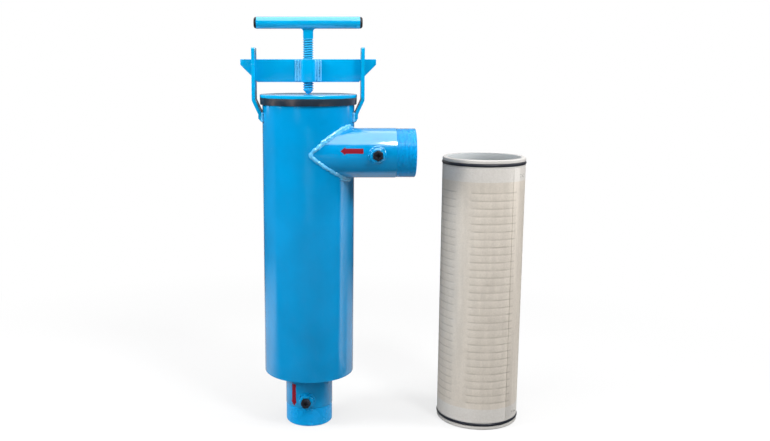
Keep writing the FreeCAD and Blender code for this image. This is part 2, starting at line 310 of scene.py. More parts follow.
def drawn_line(name: str, points: list[Vector], closed: bool = True) -> Piece:
    """Draws a line of edges from point to point, starting from a plane merged into one vertex.

    Args:
        name: The new piece's name.
        points: The line's corners.
        closed: Whether the line returns to its first corner.

    Returns:
        A piece that has only vertices and edges.
    """
    clear_selection()
    bpy.ops.mesh.primitive_plane_add(size=1.0)
    line = named_primitive(name)
    route = points + points[:1] if closed else points
    with editing(line):
        bpy.ops.mesh.merge(type="CENTER")
        bpy.ops.transform.translate(value=points[0])
        for start, end in zip(route, route[1:]):
            bpy.ops.mesh.extrude_vertices_move(TRANSFORM_OT_translate={"value": end - start})
        bpy.ops.mesh.select_all(action="SELECT")
        bpy.ops.mesh.remove_doubles(threshold=MERGE_DISTANCE)
    return line


def turned(name: str, profile: Profile, spindle: Spindle, steps: int = 160, closed: bool = True) -> Piece:
    """Turns a profile about an axis by a full spin.

    Args:
        name: The new piece's name.
        profile: The corners, each a radius and a distance along the axis.
        spindle: The axis.
        steps: How many faces go round.
        closed: Whether the profile returns to its first corner.

    Returns:
        A closed piece with its faces outwards.
    """
    piece = drawn_line(name, [spindle.at(radius, distance) for radius, distance in profile], closed)
    with editing(piece):
        bpy.ops.mesh.spin(steps=steps, angle=FULL_TURN, center=spindle.centre, axis=spindle.along)
    tidy_mesh(piece)
    return piece


def round_bar(radius: float, start: float, end: float, spindle: Spindle, steps: int = 160) -> Piece:
    """A plain solid cylinder along an axis, used as a cutting tool."""
    profile = [(0.0, start), (radius, start), (radius, end), (0.0, end)]
    return turned("round_tool", profile, spindle, steps, closed=False)


def plate(name: str, outline: list[Vector], thickness: Vector) -> Piece:
    """Fills a flat outline and extrudes it by its thickness.

    Args:
        name: The new piece's name.
        outline: The outline's corners.
        thickness: The way and the distance to extrude.

    Returns:
        A closed piece.
    """
    piece = drawn_line(name, outline)
    with editing(piece):
        bpy.ops.mesh.edge_face_add()
        bpy.ops.mesh.extrude_region_move(TRANSFORM_OT_translate={"value": thickness})
    tidy_mesh(piece)
    return piece


def block(low: Vector, high: Vector) -> Piece:
    """A box between two corners, used as a cutting tool.

    Args:
        low: The lowest corner.
        high: The highest corner.

    Returns:
        The box.
    """
    clear_selection()
    bpy.ops.mesh.primitive_cube_add(size=1.0, location=(low + high) / 2.0, scale=high - low)
    piece = named_primitive("block_tool")
    settle(piece)
    return piece


def rounded_corner(before: Vector, corner: Vector, after: Vector, radius: float) -> list[Vector]:
    """The points of the arc that rounds one corner of an outline.

    Args:
        before: The outline's corner before this one.
        corner: The corner to round.
        after: The corner after it.
        radius: The arc's radius.

    Returns:
        The arc's points.
    """
    to_before = (before - corner).normalized()
    to_after = (after - corner).normalized()
    half_angle = to_before.angle(to_after) / 2.0
    centre = corner + (to_before + to_after).normalized() * (radius / math.sin(half_angle))
    start = corner + to_before * (radius / math.tan(half_angle)) - centre
    end = corner + to_after * (radius / math.tan(half_angle)) - centre
    sweep = start.angle(end)
    points = []
    for step in range(CORNER_STEPS + 1):
        share = step / CORNER_STEPS
        lead = math.sin((1.0 - share) * sweep) / math.sin(sweep)
        follow = math.sin(share * sweep) / math.sin(sweep)
        points.append(centre + start * lead + end * follow)
    return points


def rounded_outline(corners: list[Vector], radii: list[float]) -> list[Vector]:
    """An outline with each corner rounded by its own radius, or left sharp where that is nothing.

    Args:
        corners: The outline's corners.
        radii: A radius for each corner.

    Returns:
        The new outline's corners.
    """
    points = []
    for index, corner in enumerate(corners):
        if radii[index] == 0.0:
            points.append(corner)
            continue
        after = corners[(index + 1) % len(corners)]
        points.extend(rounded_corner(corners[index - 1], corner, after, radii[index]))
    return points


def evenly_spaced(line: list[Vector], step: float) -> list[Vector]:
    """Points along a line, this far apart.

    Args:
        line: The line's corners.
        step: The distance from point to point.

    Returns:
        The points, from the line's start on.
    """
    points = [line[0]]
    left = step
    for start, end in zip(line, line[1:]):
        length = (end - start).length
        walked = 0.0
        while length - walked >= left:
            walked += left
            points.append(start.lerp(end, walked / length))
            left = step
        left -= length - walked
    return points


@dataclass(frozen=True)
class WeldBead:
    """A row of overlapping drops along a seam, melted into one skin.

    Attributes:
        radius: The drops' mean radius.
        step: The distance from drop to drop.
        wander: How far a drop may stray, and its radius vary.
        skin: The size of the remeshed skin's faces.
        seed: The seed of the drops' random draws.
    """

    radius: float = 3.2 * MM
    step: float = 3.4 * MM
    wander: float = 0.45 * MM
    skin: float = 0.75 * MM
    seed: int = 1

    def along(self, name: str, lines: list[list[Vector]]) -> Piece:
        """Lays the bead along each of these lines.

        Args:
            name: The new piece's name.
            lines: The seams, each as a list of points.

        Returns:
            The finished bead.
        """
        draw = random.Random(self.seed)
        clear_selection()
        bpy.ops.mesh.primitive_ico_sphere_add(subdivisions=2, radius=self.radius, location=lines[0][0])
        bead = named_primitive(name)
        settle(bead)
        with editing(bead):
            for line in lines:
                for place in evenly_spaced(line, self.step):
                    stray = Vector([draw.uniform(-self.wander, self.wander) for _ in range(3)])
                    radius = self.radius + draw.uniform(-self.wander, self.wander)
                    stray += place
                    bpy.ops.mesh.primitive_ico_sphere_add(subdivisions=2, radius=radius, location=stray)
        with_modifier(bead, "REMESH", mode="VOXEL", voxel_size=self.skin)
        return with_modifier(bead, "SMOOTH", factor=0.5, iterations=2)


@dataclass(frozen=True)
class Thread:
    """A screw thread of rounded-off triangular section.

    Attributes:
        radius: The radius at the crests.
        depth: How deep the roots lie below the crests.
        pitch: The advance in one turn.
        crest: The crest's share of the pitch.
        groove: The root's share of the pitch.
        steps: How many faces go round.
    """

    radius: float
    depth: float
    pitch: float
    crest: float = 0.16
    groove: float = 0.16
    steps: int = 48

    def rod(self, name: str, start: float, end: float, spindle: Spindle) -> Piece:
        """A solid rod with this thread.

        Args:
            name: The new piece's name.
            start: Where the rod starts along the axis.
            end: Where it ends.
            spindle: The axis.

        Returns:
            A closed rod, flat at both ends.
        """
        root = self.radius - self.depth
        crest = self.crest * self.pitch
        groove = self.groove * self.pitch
        flank = (self.pitch - crest - groove) / 2.0
        low = start - self.pitch
        heights = [(root, 0.0), (root, groove), (self.radius, groove + flank),
                   (self.radius, groove + flank + crest), (root, self.pitch)]
        section = [Vector((radius, 0.0, low + height)) for radius, height in heights]
        piece = drawn_line(name, section, closed=False)
        turns = math.ceil((end - start) / self.pitch) + 2
        with_modifier(piece, "SCREW", axis="Z", angle=FULL_TURN, screw_offset=self.pitch, iterations=turns,
                      steps=self.steps, render_steps=self.steps, use_merge_vertices=True,
                      merge_threshold=MERGE_DISTANCE)
        with editing(piece):
            bpy.ops.mesh.remove_doubles(threshold=MERGE_DISTANCE)
            for height, waste in ((start, "clear_inner"), (end, "clear_outer")):
                bpy.ops.mesh.select_all(action="SELECT")
                bpy.ops.mesh.bisect(plane_co=UP * height, plane_no=UP, use_fill=True, **{waste: True})
        tidy_mesh(piece)
        piece.matrix_world = spindle.placement()
        settle(piece)
        return piece


class NodeSheet:
    """A material, or the scene's surroundings, whose nodes are added and wired in code."""

    def __init__(self, name: str, surroundings: bool = False) -> None:
        """Starts with the one shader that a new material or new surroundings have.

        Args:
            name: The material's or the surroundings' name.
            surroundings: Whether it is the scene's surroundings.
        """
        self.owner = (bpy.data.worlds if surroundings else bpy.data.materials).new(name)
        self.owner.use_nodes = True
        self.tree = self.owner.node_tree
        self.shader = self.tree.nodes["Background" if surroundings else "Principled BSDF"]
        self.place = self.add("TexCoord").outputs["Generated" if surroundings else "Object"]

    def add(self, kind: str, inputs: dict | None = None, **settings: object) -> bpy.types.Node:
        """Adds a node.

        Args:
            kind: The node's type, without the part that all types have in common.
            inputs: Values or sockets for the node's inputs, by name or number.
            settings: The node's properties and their values.

        Returns:
            The new node.
        """
        node = self.tree.nodes.new("ShaderNode" + kind)
        for name, value in settings.items():
            setattr(node, name, value)
        for key, value in (inputs or {}).items():
            self.feed(node.inputs[key], value)
        return node

    def feed(self, socket: Socket, value: object) -> None:
        """Wires a socket into another, or sets its value.

        Args:
            socket: The input.
            value: The output or the value that it gets.
        """
        if isinstance(value, Socket):
            self.tree.links.new(value, socket)
        else:
            socket.default_value = value

    def math(self, operation: str, first: object, second: object = 0.0) -> Socket:
        """One step of arithmetic."""
        return self.add("Math", {0: first, 1: second}, operation=operation).outputs[0]

    def times(self, first: object, second: object) -> Socket:
        """The product of two values."""
        return self.math("MULTIPLY", first, second)

    def vector(self, operation: str, first: object, second: object = ORIGIN,
               output: str = "Vector") -> Socket:
        """One step of arithmetic on vectors."""
        return self.add("VectorMath", {0: first, 1: second}, operation=operation).outputs[output]

    def radius_about(self, axis: Vector) -> Socket:
        """The distance from an upright axis."""
        level = self.vector("MULTIPLY", self.vector("SUBTRACT", self.place, axis), (1.0, 1.0, 0.0))
        return self.vector("LENGTH", level, output="Value")

    def noise(self, scale: float, detail: float = 2.0, place: object = None) -> Socket:
        """A soft random pattern, from 0 to 1."""
        inputs = {"Vector": place or self.place, "Scale": scale, "Detail": detail}
        return self.add("TexNoise", inputs).outputs["Fac"]

    def ranged(self, value: object, low: float, high: float, out_low: float, out_high: float) -> Socket:
        """A value carried from one range to another along a smooth step."""
        inputs = {"Value": value, "From Min": low, "From Max": high, "To Min": out_low, "To Max": out_high}
        return self.add("MapRange", inputs, interpolation_type="SMOOTHSTEP").outputs["Result"]

    def patches(self, scale: float, detail: float, *limits: float) -> Socket:
        """A soft random pattern carried from one range to another, with the limits in the order of ranged."""
        return self.ranged(self.noise(scale, detail), *limits)

    def mixed(self, share: object, first: object, second: object) -> Socket:
        """One colour turned into another by a share.

        Args:
            share: How much of the second colour shows, from 0 to 1.
            first: The colour at 0.
            second: The colour at 1.

        Returns:
            The mixed colour.
        """
        node = self.add("Mix", data_type="RGBA")
        self.feed(node.inputs[0], share)
        for socket, colour in ((node.inputs[6], first), (node.inputs[7], second)):
            self.feed(socket, colour if isinstance(colour, Socket) else (*colour, 1.0))
        return node.outputs[2]

    def bumped(self, height: object, distance: float, strength: float, normal: object = None) -> Socket:
        """A surface normal raised by a height pattern.

        Args:
            height: The pattern.
            distance: How high it stands.
            strength: How much of it shows.
            normal: A normal that is bumped already.

        Returns:
            The new normal.
        """
        inputs = {"Height": height, "Distance": distance, "Strength": strength}
        if normal is not None:
            inputs["Normal"] = normal
        return self.add("Bump", inputs).outputs["Normal"]

    def finish(self, colour: object, roughness: object, normal: object, **constants: object) -> Material:
        """Wires colour, roughness and normal into the shader and sets its constants.

        Args:
            colour: The base colour's socket.
            roughness: The roughness's socket or value.
            normal: The normal's socket.
            constants: The shader's other inputs, by name with underscores for spaces.

        Returns:
            The finished material.
        """
        self.feed(self.shader.inputs["Base Color"], colour)
        self.feed(self.shader.inputs["Roughness"], roughness)
        self.feed(self.shader.inputs["Normal"], normal)
        for name, value in constants.items():
            self.shader.inputs[name.replace("_", " ")].default_value = value
        return self.owner


def scaled(colour: Colour, factor: float) -> Colour:
    """A colour made darker or lighter."""
    return tuple(min(1.0, part * factor) for part in colour)


@dataclass(frozen=True)
class Enamel:
    """A glossy sprayed coat over rolled steel, with orange peel and slow waves in its shine.

    Attributes:
        name: The material's name.
        colour: The coat's mean colour.
        patches: How much lighter and darker the coat gets.
        roughness: The lowest and highest roughness.
        waves: The strength of the slow waves.
        scuffed: The pale colour of the few scuffs.
        shine: The shader's specular level.
    """

    name: str = "blue_enamel"
    colour: Colour = (0.0, 0.24, 0.53)
    patches: float = 0.06
    roughness: tuple[float, float] = (0.08, 0.16)
    waves: float = 0.12
    scuffed: Colour = (0.22, 0.50, 0.70)
    shine: float = 1.0

    def material(self) -> Material:
        """Makes the material.

        Returns:
            The coat's material.
        """
        sheet = NodeSheet(self.name)
        patch = sheet.patches(14.0, 4.0, 0.3, 0.7, 0.0, 1.0)
        light = scaled(self.colour, 1.0 + self.patches)
        colour = sheet.mixed(patch, scaled(self.colour, 1.0 - self.patches), light)
        specks = sheet.patches(420.0, 1.0, 0.72, 0.78, 0.0, 0.35)
        colour = sheet.mixed(specks, colour, scaled(self.colour, 0.7))
        scuffs = sheet.times(sheet.patches(11.0, 1.0, 0.7, 0.78, 0.0, 1.0),
                             sheet.patches(240.0, 5.0, 0.56, 0.7, 0.0, 0.4))
        colour = self.shaded(sheet, sheet.mixed(scuffs, colour, self.scuffed))
        roughness = sheet.patches(45.0, 3.0, 0.3, 0.7, *self.roughness)
        waves = sheet.bumped(sheet.noise(26.0, 2.0), 1.2 * MM, self.waves)
        normal = sheet.bumped(sheet.noise(650.0, 2.0), 0.05 * MM, 0.5, waves)
        return sheet.finish(colour, roughness, normal, Specular_IOR_Level=self.shine, IOR=1.8)

    def shaded(self, sheet: NodeSheet, colour: Socket) -> Socket:
        """The coat's colour after what is particular to a kind of piece, here nothing."""
        return colour


@dataclass(frozen=True)
class GrooveShadedEnamel(Enamel):
    """The same coat on an upright screw thread, with painted shade that darkens it in the grooves.

    Attributes:
        root: The radius up to which the painted shade is full.
        crest: The radius from which there is no painted shade.
        groove_shade: The grooves' painted shade, as a share of the coat's colour.
    """

    root: float = 7.9 * MM
    crest: float = 9.1 * MM
    groove_shade: float = 0.36

    def shaded(self, sheet: NodeSheet, colour: Socket) -> Socket:
        """The coat's colour, darkened towards the thread's axis, which is Z, as painted shade in the grooves.
        """
        # Painted shade: the thread's roots are darkened by their radius.
        clean = sheet.ranged(sheet.radius_about(ORIGIN), self.root, self.crest, 0.0, 1.0)
        return sheet.mixed(clean, scaled(self.colour, self.groove_shade), colour)


@dataclass(frozen=True)
class Rubber:
    """Moulded black rubber or plastic, with lighter patches of dust and painted sheen.

    Attributes:
        name: The material's name.
        colour: The clean colour.
        dust_and_sheen: The colour of the lighter patches, dust and painted sheen.
        grain: The fine grain's scale.
        roughness: The lowest and highest roughness.
        shine: The shader's specular level.
    """

    name: str
    colour: Colour
    dust_and_sheen: Colour
    grain: float = 700.0
    roughness: tuple[float, float] = (0.32, 0.55)
    shine: float = 0.5

    def material(self) -> Material:
        """Makes the material.

        Returns:
            The rubber's material.
        """
        sheet = NodeSheet(self.name)
        # Lighter random patches: dust and painted sheen.
        colour = sheet.mixed(sheet.patches(30.0, 3.0, 0.45, 0.75, 0.0, 1.0), self.colour, self.dust_and_sheen)
        roughness = sheet.patches(80.0, 2.0, 0.3, 0.7, *self.roughness)
        normal = sheet.bumped(sheet.noise(self.grain, 2.0), 0.06 * MM, 0.6)
        return sheet.finish(colour, roughness, normal, Specular_IOR_Level=self.shine)


@dataclass(frozen=True)
class PipePlastic:
    """Light grey rigid plastic pipe, turned on a lathe: level tool lines, slight stains and painted shade in
    the bore.

    Attributes:
        name: The material's name.
        axis: A point on the pipe's axis.
        bore: The bore's radius.
        colour: The clean colour.
        inside: The bore's darker colour, painted shade inside the pipe.
        stain: The colour of the stains.
        tool_pitch: The distance between tool lines.
    """

    name: str
    axis: Vector
    bore: float
    colour: Colour = (0.46, 0.445, 0.425)
    inside: Colour = (0.42, 0.44, 0.45)
    stain: Colour = (0.41, 0.40, 0.385)
    tool_pitch: float = 0.8 * MM

    def material(self) -> Material:
        """Makes the material.

        Returns:
            The pipe's material.
        """
        sheet = NodeSheet(self.name)
        height = sheet.add("SeparateXYZ", {0: sheet.place}).outputs["Z"]
        lines = sheet.math("SINE", sheet.times(height, FULL_TURN / self.tool_pitch))
        colour = sheet.mixed(sheet.patches(38.0, 5.0, 0.5, 0.8, 0.0, 0.7), self.colour, self.stain)
        radius = sheet.radius_about(self.axis)
        # Painted shade: the bore is darker than the outside.
        bore = sheet.ranged(radius, self.bore + 0.1 * MM, self.bore + 0.9 * MM, 1.0, 0.0)
        colour = sheet.mixed(bore, colour, self.inside)
        normal = sheet.bumped(lines, 0.03 * MM, 0.35)
        return sheet.finish(colour, sheet.patches(90.0, 2.0, 0.3, 0.7, 0.38, 0.52), normal)


@dataclass(frozen=True)
class SlotPattern:
    """Level rows of short saw cuts, in columns round the element's tube.

    Attributes:
        height: A slot's height.
        pitch: The distance between rows.
        first: The height of the lowest row.
        last: The height of the highest row.
        arc: A slot's length, as an angle.
        turn: The turn of the first column from the front.
        columns: How many columns there are.
    """

    height: float = 2.5 * MM
    pitch: float = 14.16 * MM
    first: float = 52.0 * MM
    last: float = 448.48 * MM
    arc: float = math.radians(70.0)
    turn: float = math.radians(8.0)
    columns: int = 4

    @property
    def rows(self) -> list[float]:
        """The heights of the rows."""
        count = 1 + round((self.last - self.first) / self.pitch)
        return [self.first + row * self.pitch for row in range(count)]

    @property
    def column_step(self) -> float:
        """The turn from column to column."""
        return FULL_TURN / self.columns


@dataclass(frozen=True)
class WireCloth:
    """Fine woven wire wrapped on a slotted tube, with painted shade in darker lines where its slots lie
    beneath.

    Attributes:
        name: The material's name.
        axis: A point on the tube's axis.
        radius: The cloth's radius.
        slots: The slots under the cloth.
        backed_below: Where the lower collar's backing ends.
        backed_above: Where the upper collar's backing starts.
        colour: The cloth's colour over the open tube.
        backed: Its lighter colour where a solid collar backs it.
        slot_shade_colour: Its colour over a slot, painted shade of the hole beneath.
        weave: The distance between wires.
    """

    name: str
    axis: Vector
    radius: float
    slots: SlotPattern
    backed_below: float
    backed_above: float
    colour: Colour = (0.63, 0.575, 0.505)
    backed: Colour = (0.655, 0.63, 0.595)
    slot_shade_colour: Colour = (0.47, 0.425, 0.365)
    weave: float = 0.55 * MM

    def around(self, sheet: NodeSheet) -> tuple[Socket, Socket]:
        """The angle round the axis, counted from the front, and the height."""
        parts = sheet.add("SeparateXYZ", {0: sheet.vector("SUBTRACT", sheet.place, self.axis)}).outputs
        return sheet.math("ARCTAN2", parts["X"], sheet.times(parts["Y"], -1.0)), parts["Z"]

    def off_centre(self, sheet: NodeSheet, value: object, first: float, pitch: float) -> Socket:
        """How far a value is from the nearest of a row of centres.

        Args:
            sheet: The material's nodes.
            value: The value.
            first: The first centre.
            pitch: The distance between centres.

        Returns:
            The distance.
        """
        steps = sheet.math("DIVIDE", sheet.math("SUBTRACT", value, first), pitch)
        near = sheet.math("SUBTRACT", sheet.math("FRACT", sheet.math("ADD", steps, 0.5)), 0.5)
        return sheet.times(sheet.math("ABSOLUTE", near), pitch)

    def slot_shade_shown(self, sheet: NodeSheet, angle: object, height: object) -> Socket:
        """How much painted shade a slot beneath gives a place, from 0 to 1.

        Args:
            sheet: The material's nodes.
            angle: The angle round the axis.
            height: The height.

        Returns:
            The share of painted shade.
        """
        slots = self.slots
        half_row, half_arc = slots.height / 2.0, slots.arc / 2.0
        row = self.off_centre(sheet, height, slots.first, slots.pitch)
        column = self.off_centre(sheet, angle, slots.turn, slots.column_step)
        margin = slots.pitch / 2.0
        shown = sheet.ranged(row, 0.3 * half_row, 1.5 * half_row, 1.0, 0.0)
        for factor in (sheet.ranged(column, 0.9 * half_arc, half_arc, 1.0, 0.0),
                       sheet.math("GREATER_THAN", height, slots.first - margin),
                       sheet.math("LESS_THAN", height, slots.last + margin),
                       sheet.patches(55.0, 3.0, 0.3, 0.65, 0.45, 1.0)):
            shown = sheet.times(shown, factor)
        return shown

    def material(self) -> Material:
        """Makes the material.

        Returns:
            The cloth's material.
        """
        sheet = NodeSheet(self.name)
        angle, height = self.around(sheet)
        arc = sheet.times(angle, self.radius)
        flat = sheet.add("CombineXYZ", {"X": sheet.times(arc, 9.0), "Y": height}).outputs[0]
        streaks = sheet.ranged(sheet.noise(9.0, 3.0, flat), 0.35, 0.65, 0.0, 1.0)
        colour = sheet.mixed(streaks, scaled(self.colour, 0.96), scaled(self.colour, 1.04))
        backing = sheet.math("MAXIMUM", sheet.math("LESS_THAN", height, self.backed_below),
                             sheet.math("GREATER_THAN", height, self.backed_above))
        across, up = (sheet.math("SINE", sheet.times(way, FULL_TURN / self.weave)) for way in (arc, height))
        wires = sheet.times(across, up)
        # Tones over the cloth; the slots' tone is painted shade of the holes beneath.
        for share, tone in ((backing, self.backed),
                            (self.slot_shade_shown(sheet, angle, height), self.slot_shade_colour),
                            (sheet.patches(24.0, 4.0, 0.55, 0.8, 0.0, 0.35), scaled(self.colour, 0.72)),
                            (sheet.patches(330.0, 2.0, 0.35, 0.65, 0.0, 0.16), scaled(self.colour, 0.62)),
                            (sheet.ranged(wires, -1.0, -0.2, 0.3, 0.0), scaled(self.colour, 0.45))):
            colour = sheet.mixed(share, colour, tone)
        normal = sheet.bumped(wires, 0.06 * MM, 0.5)
        return sheet.finish(colour, 0.46, normal, Metallic=0.25, Specular_IOR_Level=0.5)


@dataclass(frozen=True)
class Vinyl:
    """A flat coloured film with slight wear.

    Attributes:
        name: The material's name.
        colour: The film's colour.
    """

    name: str = "red_vinyl"
    colour: Colour = (0.19, 0.004, 0.014)

    def material(self) -> Material:
        """Makes the material.

        Returns:
            The film's material.
        """
        sheet = NodeSheet(self.name)
        worn = sheet.patches(260.0, 4.0, 0.58, 0.8, 0.0, 0.5)
        colour = sheet.mixed(worn, self.colour, scaled(self.colour, 0.55))
        normal = sheet.bumped(sheet.noise(500.0), 0.04 * MM, 0.4)
        return sheet.finish(colour, 0.42, normal, Specular_IOR_Level=0.35)


Finish = Enamel | Rubber | PipePlastic | WireCloth | Vinyl


class Coat:
    """A finish as pieces wear it, with the record's slot that it belongs to."""

    def __init__(self, slot: Slot, finish: Finish) -> None:
        """Makes the finish's material."""
        self.slot = slot
        self.material = finish.material()


ENAMEL = Coat(Slot.PAINT, Enamel())
# The straps, lid, yoke and screw wear a lighter blue than the housing: painted light on the upper parts.
LIT_CLAMP_ENAMEL = Coat(Slot.PAINT, Enamel("lit_clamp_enamel", (0.0, 0.325, 0.63)))
# The screw's coat is a lighter blue, a painted highlight on the crests, with painted shade in its grooves.
SCREW_ENAMEL = Coat(Slot.PAINT, GrooveShadedEnamel("screw_enamel", (0.03, 0.42, 0.76), waves=0.0))
# The welds wear a paler, rougher blue: a painted highlight on the beads.
WELD_HIGHLIGHT_ENAMEL = Coat(Slot.PAINT, Enamel("weld_highlight_enamel", (0.10, 0.43, 0.72), 0.14, (0.14, 0.24), 0.0))
THREAD_ENAMEL = Coat(Slot.PAINT, Enamel("thread_enamel", (0.0, 0.285, 0.61), 0.08, (0.2, 0.28), 0.0,
                                        shine=0.5))
GASKET_RUBBER = Coat(Slot.GASKET, Rubber("gasket_rubber", (0.012, 0.022, 0.036), (0.085, 0.072, 0.074)))
ORING_RUBBER = Coat(Slot.ORING, Rubber("oring_rubber", (0.010, 0.012, 0.018), (0.022, 0.024, 0.032)))
PLUG_PLASTIC = Coat(Slot.PLUG, Rubber("plug_plastic", (0.010, 0.013, 0.020), (0.02, 0.024, 0.034), 900.0,
                                      (0.5, 0.65), 0.25))
CAP_PLASTIC = Coat(Slot.CAP, Rubber("cap_plastic", (0.014, 0.013, 0.014), (0.035, 0.032, 0.032), 900.0))
TACK_METAL = Coat(Slot.CLOTH, Rubber("tack_metal", (0.09, 0.085, 0.08), (0.17, 0.16, 0.15), 900.0))
ARROW_VINYL = Coat(Slot.PAINT, Vinyl())


def dressed(piece: Piece, body: str, coat: Coat, *nodes: str) -> Piece:
    """Smooths a finished piece, gives it its finish and seats it on its body.

    Args:
        piece: The finished piece.
        body: The body that it moves with.
        coat: Its finish.
        nodes: The CAD nodes that it stands for.

    Returns:
        The same piece.
    """
    piece.data.materials.clear()
    piece.data.materials.append(coat.material)
    make_active(piece)
    bpy.ops.object.shade_smooth_by_angle(angle=SHARP_ANGLE)
    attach(piece, body)
    if nodes:
        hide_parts(*nodes)
    LOG.info("%s: %d faces, rides on %s", piece.name, len(piece.data.polygons), body)
    return piece


@dataclass
class Housing:
    """The shell with its bottom plate and the two seat rings inside.

    Attributes:
        wall: The shell's wall.
        ring_wall: The seat rings' wall.
        mouth: The chamfer at the seat rings' mouths.
        edge: The rounding of the shell's edges.
        ring_edge: The rounding of the seat rings' edges.
        inlet_bore: The radius of the hole where the inlet runs in.
        weld_rise: How far over the bottom plate's underside its two welds lie.
        steps: How many faces go round the shell.
    """

    wall: float = 3.2 * MM
    ring_wall: float = 3.0 * MM
    mouth: float = 1.5 * MM
    edge: float = 0.7 * MM
    ring_edge: float = 0.3 * MM
    inlet_bore: float = 40.4 * MM
    weld_rise: float = 1.5 * MM
    steps: int = 224

    def __post_init__(self) -> None:
        """Works out the shell's inner radius."""
        self.inner = SHELL_RADIUS - self.wall

    def shell(self) -> None:
        """The upright tube, with the inlet's hole in its wall."""
        inlet = NodeBox.of("inlet_pipe")
        levels = [SHELL.low.z, inlet.low.z, inlet.high.z, SHELL.high.z]
        profile = [(SHELL_RADIUS, level) for level in levels]
        profile += [(self.inner, level) for level in levels[::-1]]
        tube = eased(turned("shell", profile, HOUSING_AXIS, self.steps), self.edge)
        hole = round_bar(self.inlet_bore, 0.0, SHELL_RADIUS + self.wall, INLET_AXIS)
        dressed(carved(tube, hole), "housing", ENAMEL, "shell_tube")

    def bottom(self) -> None:
        """The plate that closes the shell round the outlet pipe, and the beads that seal it."""
        box = NodeBox.of("bottom_plate")
        pipe = NodeBox.of("outlet_pipe").size.x / 2.0
        profile = [(pipe, box.low.z), (self.inner, box.low.z), (self.inner, box.high.z), (pipe, box.high.z)]
        disc = turned("bottom_disc", profile, HOUSING_AXIS, self.steps)
        dressed(disc, "housing", ENAMEL, "bottom_plate")
        turns = [FULL_TURN * step / self.steps for step in range(self.steps + 1)]
        height = box.low.z + self.weld_rise
        rings = [[Vector((math.cos(turn) * radius, math.sin(turn) * radius, height)) for turn in turns]
                 for radius in (pipe, self.inner)]
        bead = WeldBead(radius=1.9 * MM, step=2.6 * MM, wander=0.2 * MM, skin=0.6 * MM, seed=3)
        dressed(bead.along("bottom_weld", rings), "housing", ENAMEL)

    def seats(self) -> None:
        """The two rings that the element's O-rings seal in."""
        bore = self.inner - self.ring_wall
        for node in ("lower_seat_ring", "upper_seat_ring"):
            box = NodeBox.of(node)
            profile = [(bore, box.low.z), (self.inner, box.low.z), (self.inner, box.high.z),
                       (bore + self.mouth, box.high.z), (bore, box.high.z - self.mouth)]
            ring = turned(node.replace("ring", "band"), profile, HOUSING_AXIS, self.steps)
            dressed(eased(ring, self.ring_edge, 2), "housing", ENAMEL, node)

    def build(self) -> None:
        """Makes the shell and what is fixed inside it."""
        self.shell()
        self.bottom()
        self.seats()


